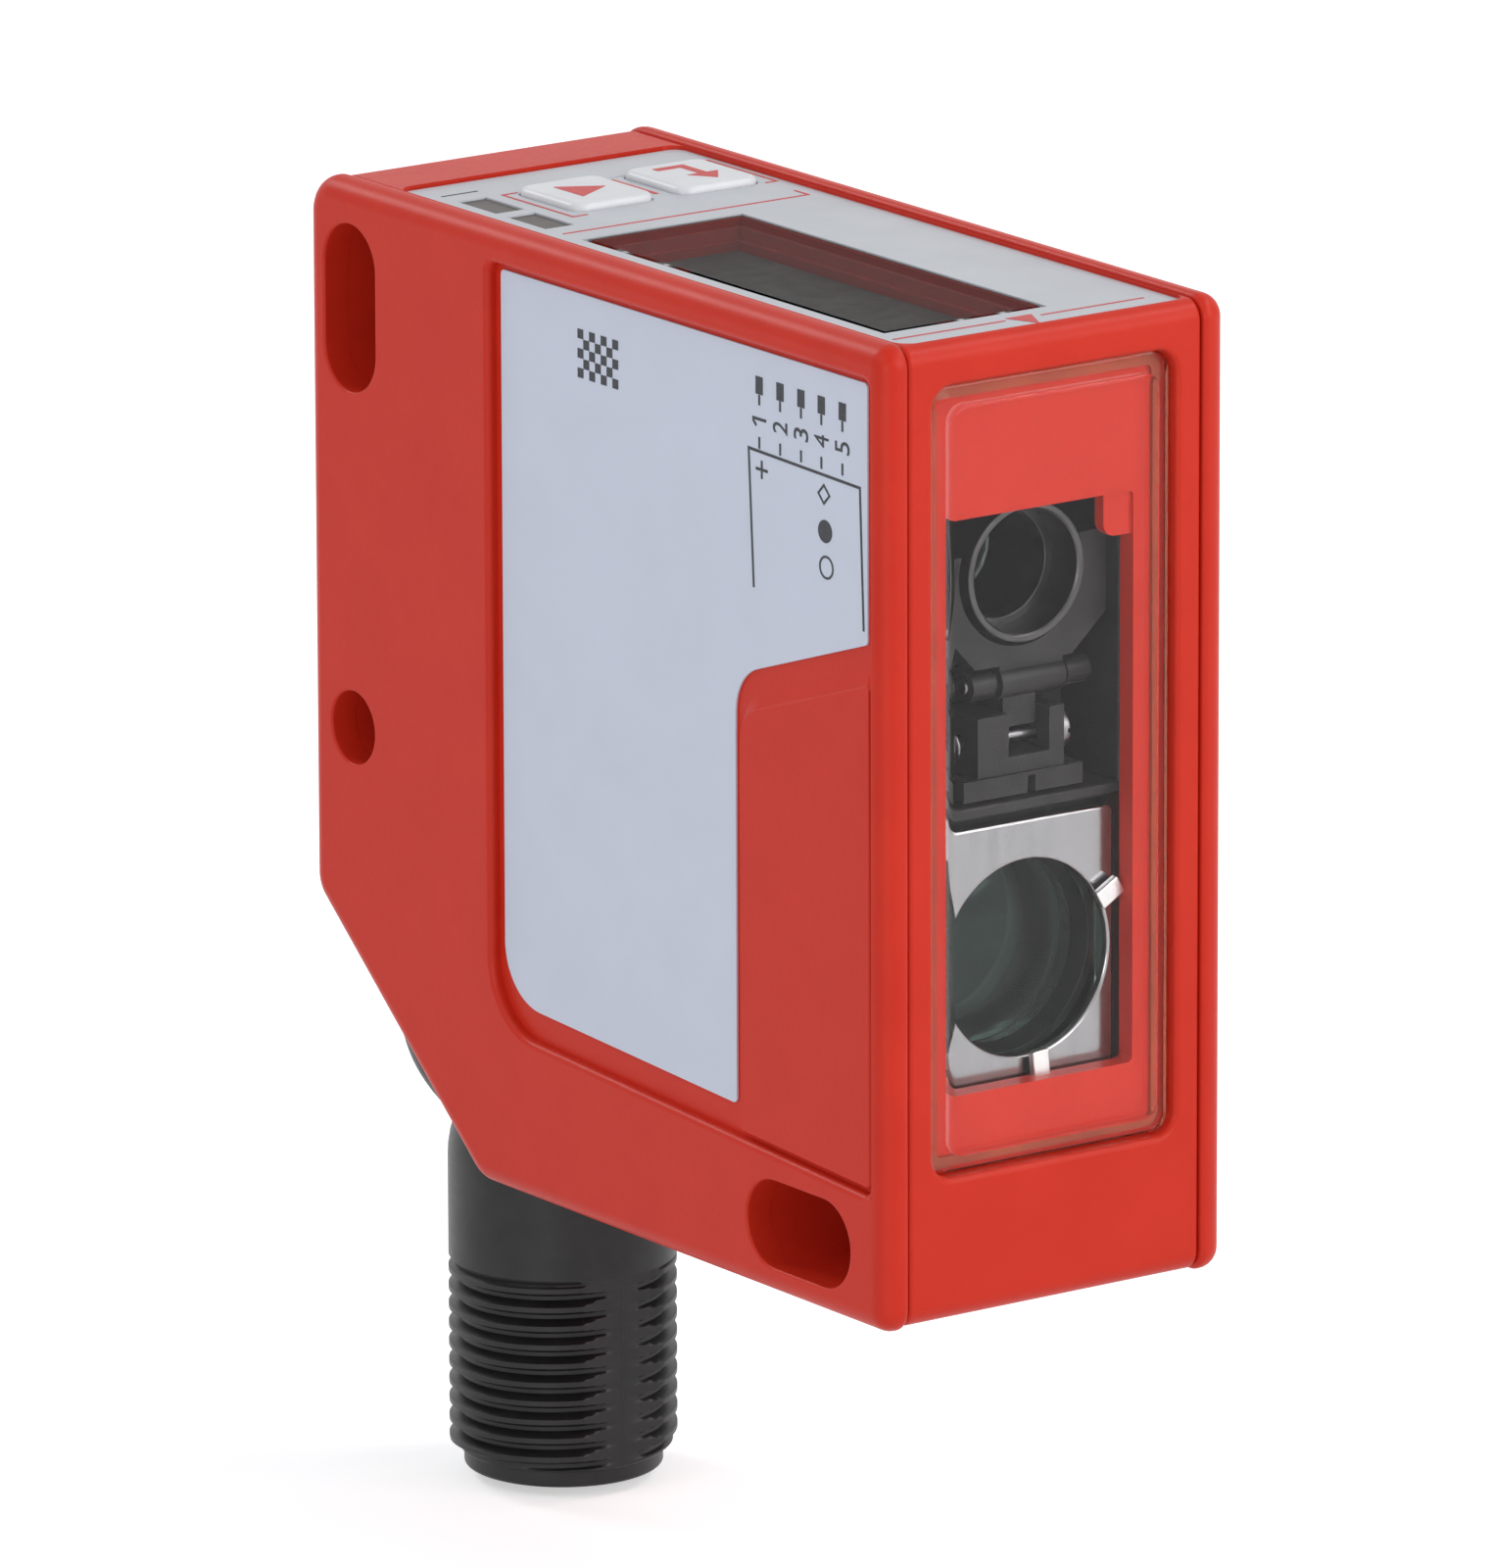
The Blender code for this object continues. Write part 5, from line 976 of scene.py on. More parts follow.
def makeLabelPrint():
    high = fromLabel(labelRecess["depth"] - label["sunk"] - label["thickness"])
    low, fine = high - ink["rise"], ink["fine"]
    marks, numerals = [], []
    for number, back in enumerate(ink["wires"], start=1):
        marks.append(stroke(onLabel([(back, 3.45), (back, 4.35)]), ink["barWidth"]))
        marks += [stroke(onLabel([(back, start), (back, end)]), fine) for start, end in wireStubs]
        if number > 1:
            numerals.append(numeral(str(number), back, ink["numeralDown"], low, high))
    marks += [stroke(onLabel(line), fine) for line in labelLines]
    back, down, *reaches = symbols["diamond"]
    middle = Vector(onLabel([(back, down)])[0])
    sides = ((1, 0), (0, 1), (-1, 0), (0, -1))
    marks.append([[(middle.x + x * reach, middle.y + z * reach, 0.0) for x, z in sides] for reach in reaches])
    for back, down, *widths in (symbols["disc"], symbols["ring"]):
        marks.append([circle(onLabel([(back, down)])[0], width) for width in widths])
    cell, (columns, rows) = ink["cell"], ink["cells"]
    for column in range(columns):
        for row in range(column % 2, rows, 2):
            place = ink["cellsBack"] + cell * (column + 0.5), ink["cellsDown"] + cell * (row + 0.5)
            marks.append([rectangle(*onLabel([place])[0], cell * 0.98, cell * 0.98)])
    return printMarks("labelPrint", marks, low, "side", "printBlack", "housing", "label_grey", numerals)


def makePanelPrint():
    low, fine = fromTop(panel["foilDown"]), ink["fine"]
    marks = [stroke(onPanel(line), fine) for line in panelLines]
    # painted shade: a thin red line down the gap between the two keys stands for the shade in the valley there
    marks.append(stroke(onPanel([(12.15, 36.2), (12.15, 40.2)]), ink["medium"]))
    marks.append(filled(onPanel([(9.7, 3.3), (11.3, 3.3), (10.5, 1.5)])))
    printMarks("panelPrintAndValleyShade", marks, low, "top", "printRedAndValleyShade", "housing", "foil_grey")
    thinLine = stroke(onPanel([(3.0, 42.1), (5.2, 42.1)]), fine * 0.7)
    printMarks("panelLine", [thinLine], low, "top", "printBlack", "housing", "foil_grey")


def makeKeyPrints():
    low, back = fromTop(panel["foilDown"]) + panel["keyRise"], panel["keyBack"]
    across = panel["keys"]["upKey"]
    triangle = filled(onPanel([(across - 1.1, back - 1.32), (across - 1.1, back + 1.32), (across + 1.2, back)]))
    printMarks("upKeyPrint", [triangle], low, "top", "printRedAndValleyShade", "up_key_cap", "key_white")
    across = panel["keys"]["selectKey"]
    turn, near = across + 0.45, back + 1.45
    stem = stroke(onPanel([(across - 1.2, near), (turn, near), (turn, back - 0.38)]), 2 * ink["medium"])
    head = filled(onPanel([(turn - 0.95, back - 0.4), (turn + 0.95, back - 0.4), (turn, back - 1.75)]))
    printMarks("selectKeyPrint", [stem, head], low, "top", "printRedAndValleyShade", "select_key_cap", "key_white")


makeLabelPrint()
makePanelPrint()
makeKeyPrints()
print("printed marks ready")


# optics behind the window

optics = {
    "front": 2.85,
    "laserDown": 13.1,
    "lensDown": 32.75,
    "hingeBack": 4.8,
    "hingeDown": 19.0,
    "hingeLeft": -0.7,
    "hingeLength": 3.9,
    "webDown": 24.6,
    "screwDown": 21.85,
    "running": 0.25,
    "mould": 0.1,
}


def beamPlace(depth, down):
    # local Z points out of the window
    return Matrix.Translation((midX, fromFront(depth), fromTop(down))) @ Matrix.Rotation(math.radians(90), 4, "X")


def fromMid(distance):
    return midX + distance


laserTube = {
    "radius": 3.55,
    "bore": 3.15,
    "length": 14.0,
    "lip": 0.1,
    "ringDepth": 2.2,
    "ringLength": 0.9,
    "ringBore": 2.75,
}


def hingePlace():
    return fromFront(optics["hingeBack"]), fromTop(optics["hingeDown"])


def makeLaserTube():
    outer, bore, lip = laserTube["radius"], laserTube["bore"], laserTube["lip"]
    ringBore, ringFront = laserTube["ringBore"], -laserTube["ringDepth"]
    ringBack, back = ringFront - laserTube["ringLength"], -laserTube["length"]
    corners = [
        (outer, 0.0, lip), (outer, back, 0.0), (bore, back, 0.0), (bore, ringBack, 0.0),
        (ringBore, ringBack, 0.05), (ringBore, ringFront, 0.05), (bore, ringFront, 0.0),
        (bore, -lip, 0.03), (bore + lip, 0.0, 0.03),
    ]
    tube = lathe("laserTube", corners, beamPlace(optics["front"], optics["laserDown"]), True, 128)
    return finishPiece(tube, "darkTube", ["laser_tube"])


yoke = {
    "thickness": 3.0,
    "armTop": 12.0,
    "width": 9.1,
    "footWidth": 5.6,
    "rightReach": 0.65,
    "rightFoot": 0.3,
    "rightDrop": 0.35,
    "rounds": (0.15, 0.4, 0.12),
    "neckRoot": 0.4,
    "shoulderDown": 15.9,
    "footDown": 17.8,
    "barrel": 0.95,
    "pin": 0.4,
    "pinGap": 0.1,
    "pinEnd": 0.12,
    "neck": 0.66,
    "tongueLeft": -0.5,
    "tongueWidth": 2.0,
    "tongueDown": 21.2,
}
knuckle = {"length": 1.4, "radius": 0.76, "web": 0.57}


def hingeBore():
    (y, z), reach = hingePlace(), yoke["width"]
    return rod("hingeBore", yoke["pin"] + yoke["pinGap"], (fromMid(-reach), y, z), (fromMid(reach), y, z), 48)


def makeYoke():
    front = fromFront(optics["hingeBack"]) - yoke["thickness"] / 2
    back = front + yoke["thickness"]
    arm, foot = yoke["width"] / 2, yoke["footWidth"] / 2
    footRound, shoulderRound, armRound = yoke["rounds"]
    rightSide = [
        (foot, yoke["footDown"], footRound),
        (arm, yoke["shoulderDown"], shoulderRound),
        (arm, yoke["armTop"], armRound),
    ]
    # the right arm reaches a little further out and lower than the left one
    wider = [(yoke["rightFoot"], 0.0), (yoke["rightReach"], 0.0), (yoke["rightReach"], -yoke["rightDrop"])]
    corners = [(fromMid(x + reach), fromTop(down + lift), radius)
               for (x, down, radius), (reach, lift) in zip(rightSide, wider)]
    corners += [(fromMid(-x), fromTop(down), radius) for x, down, radius in reversed(rightSide)]
    body = plate("tubeYoke", [corners], front, back, "front")
    roomZ = fromTop(optics["laserDown"])
    room = laserTube["radius"] + optics["running"]
    carve(body, rod("tubeRoom", room, (midX, front - past, roomZ), (midX, back + past, roomZ), 128))
    y, z = hingePlace()
    left = fromMid(optics["hingeLeft"])
    right = left + optics["hingeLength"]
    near, far = y - yoke["neck"], y + yoke["neck"]
    weld(body, block("hingeNeck", (left, near, z), (right, far, fromTop(yoke["footDown"]) + yoke["neckRoot"])))
    weld(body, rod("hingeBarrel", yoke["barrel"], (left, y, z), (right, y, z), 72))
    tongue, tongueEnd = fromMid(yoke["tongueLeft"]), fromTop(yoke["tongueDown"])
    weld(body, block("hingeTongue", (tongue, near, tongueEnd), (tongue + yoke["tongueWidth"], far, z)))
    carve(body, hingeBore())
    soften(body, optics["mould"] * 0.8, 3)
    return finishPiece(body, "darkChassis", ["tube_yoke"])


def makeYokePin():
    reach = knuckle["length"] + 2 * optics["running"]
    left = fromMid(optics["hingeLeft"]) - reach
    length = optics["hingeLength"] + 2 * reach
    place = Matrix.Translation((left, *hingePlace()))
    place = place @ Matrix.Rotation(math.radians(90), 4, "Y")
    radius = yoke["pin"]
    end = yoke["pinEnd"]
    corners = [(0.0, length, 0.0), (radius, length, end), (radius, 0.0, end), (0.0, 0.0, 0.0)]
    pin = lathe("yokePin", corners, place, sides=48)
    return finishPiece(pin, "steel", ["yoke_pin"])


yokeBase = {
    "width": 5.3,
    "top": 20.3,
    "plate": 1.0,
    "footReach": 1.0,
    "footHeight": 1.0,
    "footFront": 0.2,
    "footDrop": 0.05,
    "overlap": 0.4,
    "notch": 2.2,
    "footSlot": 0.5,
    "footSlotDepth": 0.35,
    "footSlotHeight": 0.8,
    "screwBore": 0.45,
    "screwReach": 6.0,
}


def makeYokeBase():
    left, right = fromMid(-yokeBase["width"] / 2), fromMid(yokeBase["width"] / 2)
    floor, top = fromTop(optics["webDown"]) + optics["running"], fromTop(yokeBase["top"])
    y, z = hingePlace()
    front = y - yoke["thickness"] / 2
    plateFront = y + yoke["thickness"] / 2 + optics["running"]
    plateBack = plateFront + yokeBase["plate"]
    body = block("yokeBase", (left, front, floor), (right, plateBack, top))
    leftKnuckle = fromMid(optics["hingeLeft"]) - optics["running"] - knuckle["length"]
    rightKnuckle = fromMid(optics["hingeLeft"]) + optics["hingeLength"] + optics["running"]
    overlap = yokeBase["overlap"]
    weld(body, block("basePlate", (leftKnuckle, plateFront, floor + overlap),
                     (rightKnuckle + knuckle["length"], plateBack - optics["mould"], z + yoke["barrel"])))
    reach = yokeBase["footReach"]
    weld(body, block("baseFoot", (left - reach, front - yokeBase["footFront"], floor - yokeBase["footDrop"]),
                     (right + reach, plateBack + overlap, floor + yokeBase["footHeight"])))
    for start in (leftKnuckle, rightKnuckle):
        end, web = start + knuckle["length"], knuckle["web"]
        weld(body, block("knuckleWeb", (start, y, z - web), (end, plateFront + overlap, z + web)))
        weld(body, rod("knuckleRound", knuckle["radius"], (start, y, z), (end, y, z), 64))
    tongue = fromMid(yoke["tongueLeft"])
    start, end = tongue - optics["running"], tongue + yoke["tongueWidth"] + optics["running"]
    carve(body, block("notch", (start, front - past, top - yokeBase["notch"]), (end, plateFront, top + past)))
    slot, middle = yokeBase["footSlot"] / 2, (start + end) / 2
    slotBack, slotTop = front + yokeBase["footSlotDepth"], floor + yokeBase["footSlotHeight"]
    carve(body, block("footSlot", (middle - slot, front - past, floor - past), (middle + slot, slotBack, slotTop)))
    carve(body, hingeBore())
    screwZ, reach = fromTop(optics["screwDown"]), yokeBase["screwReach"]
    screwEnds = (fromMid(-reach), y, screwZ), (fromMid(reach), y, screwZ)
    carve(body, rod("screwBore", yokeBase["screwBore"], *screwEnds, 40))
    soften(body, optics["mould"], 3)
    return finishPiece(body, "darkChassis", ["yoke_base"])


adjuster = {
    "head": 1.1,
    "headThickness": 0.5,
    "headRound": 0.12,
    "nut": 0.9,
    "nutRound": 0.2,
    "innerRound": 0.06,
    "slotHalf": 0.13,
    "slotDepth": 0.2,
    "shank": 0.35,
    "springGap": 0.2,
    "spring": 1.7,
    "wire": 0.13,
    "turns": 4,
    "steps": 40,
}


def makeAdjustingScrew():
    y, z, gap = fromFront(optics["hingeBack"]), fromTop(optics["screwDown"]), optics["running"]
    headLeft = fromMid(yokeBase["width"] / 2) + gap
    headRight = headLeft + adjuster["headThickness"]
    nutRight = fromMid(-yokeBase["width"] / 2) - adjuster["spring"] - 2 * gap
    nutLeft = nutRight - adjuster["headThickness"]
    place = Matrix.Translation((0, y, z)) @ Matrix.Rotation(math.radians(90), 4, "Y")
    head, nut, shank = adjuster["head"], adjuster["nut"], adjuster["shank"]
    inner = adjuster["innerRound"]
    corners = [
        (0.0, headRight, 0.0), (head, headRight, adjuster["headRound"]), (head, headLeft, inner),
        (shank, headLeft, 0.0), (shank, nutRight, 0.0), (nut, nutRight, inner),
        (nut, nutLeft, adjuster["nutRound"]), (0.0, nutLeft, 0.0),
    ]
    screw = lathe("adjustingScrew", corners, place, sides=72)
    slot, floor, reach = adjuster["slotHalf"], headRight - adjuster["slotDepth"], head + past
    carve(screw, block("driverSlot", (floor, y - reach, z - slot), (headRight + past, y + reach, z + slot)))
    return finishPiece(screw, "steel", ["adjusting_screw"])


def makeAdjustingSpring():
    y, z, wire = fromFront(optics["hingeBack"]), fromTop(optics["screwDown"]), adjuster["wire"]
    left = fromMid(-yokeBase["width"] / 2) - adjuster["spring"] - optics["running"] + wire
    length = adjuster["spring"] - 2 * wire
    radius = adjuster["shank"] + adjuster["springGap"] + wire
    curve = bpy.data.curves.new("adjustingSpring", "CURVE")
    curve.dimensions = "3D"
    curve.bevel_depth = wire
    curve.bevel_resolution = 4
    curve.use_fill_caps = True
    spline = curve.splines.new("POLY")
    count = adjuster["turns"] * adjuster["steps"]
    spline.points.add(count)
    for index, point in enumerate(spline.points):
        angle = math.tau * index / adjuster["steps"]
        along = left + length * index / count
        point.co = (along, y + radius * math.cos(angle), z + radius * math.sin(angle), 1)
    spring = holdMesh("adjustingSpring", shapeFrom(curve))
    return finishPiece(spring, "steel", ["adjusting_spring"])


lens = {
    "aperture": 5.0,
    "plateWidth": 10.8,
    "plateTop": 25.7,
    "plateBottom": 39.1,
    "plateThickness": 0.4,
    "plateCorner": 0.4,
    "plateRound": 0.18,
    "filterThickness": 1.0,
    "barrel": 5.7,
    "bore": 5.25,
    "barrelLength": 15.0,
    "shoulder": 4.75,
    "endBore": 3.5,
    "endThickness": 1.5,
    "baffles": (3.8, 4.2),
    "baffleSpacing": 4.0,
    "baffleThickness": 0.6,
    "thickness": 3.0,
    "sag": 0.9,
    "clipOverhang": 0.3,
    "clipLength": 1.5,
    "clipWidth": 1.0,
    "clipThickness": 0.45,
    "clipCorner": 0.1,
    "clipRound": 0.12,
    "filterRise": 0.35,
    "filterInset": 0.3,
    "filterCorner": 0.2,
    "filterRound": 0.05,
    "ringWall": 0.03,
    "ringDepth": 0.1,
    "domeRings": 24,
}
lens["filterFront"] = optics["front"] + lens["plateThickness"] + optics["running"]
lens["seat"] = lens["filterFront"] + lens["filterThickness"] + optics["running"]


def lensPlace():
    return beamPlace(lens["seat"] + optics["running"], optics["lensDown"])


def makeLensPlate():
    middle = fromTop((lens["plateTop"] + lens["plateBottom"]) / 2)
    tall, across = lens["plateBottom"] - lens["plateTop"], 2 * lens["aperture"]
    edge = rectangle(midX, middle, lens["plateWidth"], tall, lens["plateCorner"])
    hole = rectangle(midX, fromTop(optics["lensDown"]), across, across, lens["aperture"])
    front = fromFront(optics["front"])
    body = plate("lensPlate", [edge, hole], front, front + lens["plateThickness"], "front")
    roundRim(body, "front", front, lens["plateRound"], 5)
    return finishPiece(body, "brightPlate", ["lens_plate"])


def makeReceiverFilter():
    middle = fromTop((lens["plateTop"] + lens["plateBottom"] - lens["filterRise"]) / 2)
    tall = lens["plateBottom"] - lens["plateTop"] + lens["filterRise"]
    outline = rectangle(midX, middle, lens["plateWidth"] - lens["filterInset"], tall, lens["filterCorner"])
    front = fromFront(lens["filterFront"])
    body = plate("receiverFilter", [outline], front, front + lens["filterThickness"], "front")
    soften(body, lens["filterRound"], 2)
    return finishPiece(body, "filterGlass", ["receiver_filter"])


def makeLensClip(name, degrees, node):
    # a short bright tongue over the aperture's edge
    angle = math.radians(degrees)
    along = Vector((math.cos(angle), math.sin(angle)))
    sideways = Vector((-along.y, along.x)) * lens["clipWidth"] / 2
    inner = Vector((midX, fromTop(optics["lensDown"]))) + along * (lens["aperture"] - lens["clipOverhang"])
    outer = inner + along * lens["clipLength"]
    places = [inner - sideways, outer - sideways, outer + sideways, inner + sideways]
    back = fromFront(optics["front"]) - optics["running"]
    corners = [(place.x, place.y, lens["clipCorner"]) for place in places]
    body = plate(name, [corners], back - lens["clipThickness"], back, "front")
    soften(body, lens["clipRound"], 3)
    return finishPiece(body, "clipMetalAndLensGlint", [node])


def makeLensBarrel():
    outer, bore, shoulder, back = lens["barrel"], lens["bore"], lens["shoulder"], -lens["barrelLength"]
    endBore, endFront = lens["endBore"], back + lens["endThickness"]
    corners = [(outer, 0.0, 0.1), (outer, back, 0.1), (endBore, back, 0.0), (endBore, endFront, 0.1)]
    corners.append((shoulder, endFront, 0.0))
    for count, baffle in enumerate(lens["baffles"], start=1):
        start = back + count * lens["baffleSpacing"]
        end = start + lens["baffleThickness"]
        corners += [(shoulder, start, 0.0), (baffle, start, 0.15), (baffle, end, 0.15), (shoulder, end, 0.0)]
    lensBack = -lens["thickness"] - 2 * optics["running"]
    corners += [(shoulder, lensBack, 0.05), (bore, lensBack, 0.0), (bore, 0.0, 0.08)]
    barrel = lathe("lensBarrel", corners, lensPlace(), True, 128)
    return finishPiece(barrel, "darkTube", ["lens_barrel"])


def makeLensRing():
    # a thin bright metal ring on the lens barrel's front edge, a painted highlight for the glint on the lens edge
    lift, depth = lens["ringWall"], lens["ringDepth"]
    outer, inner = lens["barrel"] - lift, lens["bore"] + lift
    corners = [(outer, lift, 0.0), (outer, -depth, 0.0), (inner, -depth, 0.0), (inner, lift, 0.0)]
    ring = lathe("lensGlintRing", corners, lensPlace(), True, 128)
    return finishPiece(ring, "clipMetalAndLensGlint")


def makeReceiverLens():
    radius, front = lens["bore"] - optics["running"], -optics["running"]
    back = front - lens["thickness"]
    rings = lens["domeRings"]
    dome = [(radius * step / rings, front - lens["sag"] * (step / rings) ** 2, 0.0) for step in range(rings + 1)]
    corners = dome + [(radius, back, 0.06), (0.0, back, 0.0)]
    body = lathe("receiverLens", corners, lensPlace(), sides=128)
    return finishPiece(body, "lensGlass", ["receiver_lens"], smooth=30)


carrier = {
    "width": 12.9,
    "wall": 0.8,
    "floor": 0.6,
    "lensTop": 24.8,
    "bottom": 40.0,
    "depth": 12.6,
    "boreReach": 20.0,
    "round": 0.15,
}


def makeOpticsCarrier():
    left, right, wall = fromMid(-carrier["width"] / 2), fromMid(carrier["width"] / 2), carrier["wall"]
    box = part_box("optics_carrier")
    front, back = fromFront(optics["front"]), fromFront(optics["front"]) + carrier["depth"]
    floor, top = fromTop(optics["webDown"]), box[1].z * 1000
    body = block("opticsCarrier", (left, front, floor - carrier["floor"]), (right, back, top))
    weld(body, block("lensBlock", (left, fromFront(lens["seat"]), fromTop(carrier["bottom"])),
                     (right, box[1].y * 1000, fromTop(carrier["lensTop"]))))
    carve(body, block("hollow", (left + wall, front - past, floor), (right - wall, back - wall, top - wall)))
    bores = (
        ("lensBore", lens["barrel"], optics["lensDown"], front, back + carrier["boreReach"]),
        ("laserBore", laserTube["radius"], optics["laserDown"], back - wall - past, back + past),
    )
    for name, radius, down, start, end in bores:
        z = fromTop(down)
        carve(body, rod(name, radius + optics["running"], (midX, start, z), (midX, end, z), 96))
    soften(body, carrier["round"], 3)
    return finishPiece(body, "darkChassis", ["optics_carrier"])


makeLaserTube()
makeYoke()
makeYokePin()
makeYokeBase()
makeAdjustingScrew()
makeAdjustingSpring()
makeLensPlate()
makeReceiverFilter()
makeLensClip("upperLensClip", 30, "upper_lens_clip")
makeLensClip("lowerLensClip", -85, "lower_lens_clip")
makeLensBarrel()
makeLensRing()
makeReceiverLens()
makeOpticsCarrier()
print("optics ready")


# turning connector

connector = {
    "turret": 7.7,
    "turretHeight": 4.8,
    "turretEdge": 2.2,
    "gap": 0.25,
    "nose": 5.9,
    "reach": 24.6,
    "ring": 5.15,
    "ringLength": 0.9,
    "ringRound": 0.22,
    "neck": 5.0,
    "neckEnd": -4.05,
    "socket": 4.35,
    "socketDepth": 8.8,
    "clipGroove": 4.3,
    "clipFront": 0.15,
    "clipBack": 0.85,
    "sealMiddle": 6.4,
    "sealHalf": 0.55,
    "sealDepth": 1.2,
    "sealRadius": 0.4,
    "smallRound": 0.15,
    "overlap": 0.02,
    "shankRows": 12,
    "domeSteps": 15,
    "leadBore": 3.0,
    "noseBoreTop": 4.0,
    "neckBoreTop": 3.6,
    "insertLength": 5.0,
    "solderRoom": 1.6,
    "keyWidth": 1.2,
    "keyRoot": 0.4,
    "keyRound": 0.1,
}
contact = {
    "circle": 3.0,
    "pin": 0.5,
    "pinGap": 0.1,
    "tip": 7.5,
    "tail": 1.0,
    "insertGap": 0.15,
    "insertRound": 0.12,
    "dish": (1.0, 0.85, 0.6),
    "dishDepth": 0.3,
}
thread = {
    "pitch": 1.0,
    "turns": 10.4,
    "depth": 0.55,
    "crest": 0.13,
    "root": 0.1,
    "flat": 5.34,
    "columns": 180,
    "seamWidth": 0.9,
    "seamRise": 0.025,
    "runOut": 0.8,
    "softness": 0.35,
    "endLip": 0.15,
    "endSlope": 1.2,
    "flatReach": math.radians(40),
    # the levels of one turn at which the profile is drawn
    "steps": (0.0, 0.05, 0.1, 0.2, 0.3, 0.37, 0.44, 0.5, 0.56, 0.63, 0.7, 0.8, 0.9, 0.95),
}


flats = (math.pi / 2, 3 * math.pi / 2)


def threadColumns():
    # evenly spaced angles, with extra ones for the fine mould seams in the middle of both flats
    angles = {math.tau * index / thread["columns"] for index in range(thread["columns"])}
    angles |= {flat + math.radians(share * thread["seamWidth"]) for flat in flats for share in (-1, -0.6, 0.6, 1)}
    return sorted(angles)


def threadRadius(angle, height, top, bottom):
    crest = connector["nose"]
    turn = (height / thread["pitch"] - angle / math.tau) % 1.0
    away = abs(turn - 0.5) * thread["pitch"]
    slope = (away - thread["crest"]) / (0.5 * thread["pitch"] - thread["root"] - thread["crest"])
    share = min(1.0, max(0.0, slope))
    soft = thread["softness"]
    share = share * share * (3 - 2 * share) * soft + share * (1 - soft)
    radius = crest - thread["depth"] * share
    radius = max(radius, crest - thread["depth"] * min(1.0, (height - top) / thread["runOut"]))
    radius = min(radius, connector["ring"] + thread["endLip"] + (bottom - height) * thread["endSlope"])
    fromFlat = min(abs(angle - flat) for flat in flats)
    if fromFlat < thread["flatReach"]:
        radius = min(radius, thread["flat"] / math.cos(fromFlat))
    if fromFlat < math.radians(thread["seamWidth"] * 0.8):
        radius += thread["seamRise"]
    return radius


def makeThread(top, bottom):
    # rows follow the thread's own slope, so each crest and root is one clean line
    first, last = math.floor(top / thread["pitch"]) - 1, math.ceil(bottom / thread["pitch"])
    levels = [(turn + step) * thread["pitch"] for turn in range(first, last) for step in thread["steps"]]
    shape = bmesh.new()
    rows = []
    # the last column meets the first one a whole turn further on
    for angle, lift in [(angle, angle / math.tau) for angle in threadColumns()] + [(0.0, 1.0)]:
        column = []
        for level in levels:
            height = min(bottom, max(top, level + thread["pitch"] * lift))
            radius = threadRadius(angle, height, top, bottom)
            column.append(shape.verts.new((radius * math.cos(angle), radius * math.sin(angle), height)))
        rows.append(column)
    for left, right in zip(rows, rows[1:]):
        for index in range(len(levels) - 1):
            shape.faces.new((left[index], right[index], right[index + 1], left[index + 1]))
    bmesh.ops.remove_doubles(shape, verts=shape.verts, dist=tinyStep / 2)
    for level in (top, bottom):
        rim = [edge for edge in shape.edges if edge.is_boundary
               and all(abs(vert.co.z - level) < tinyStep for vert in edge.verts)]
        bmesh.ops.edgeloop_fill(shape, edges=rim)
    bmesh.ops.recalc_face_normals(shape, faces=shape.faces)
    return holdMesh("thread", shape, nosePlace)


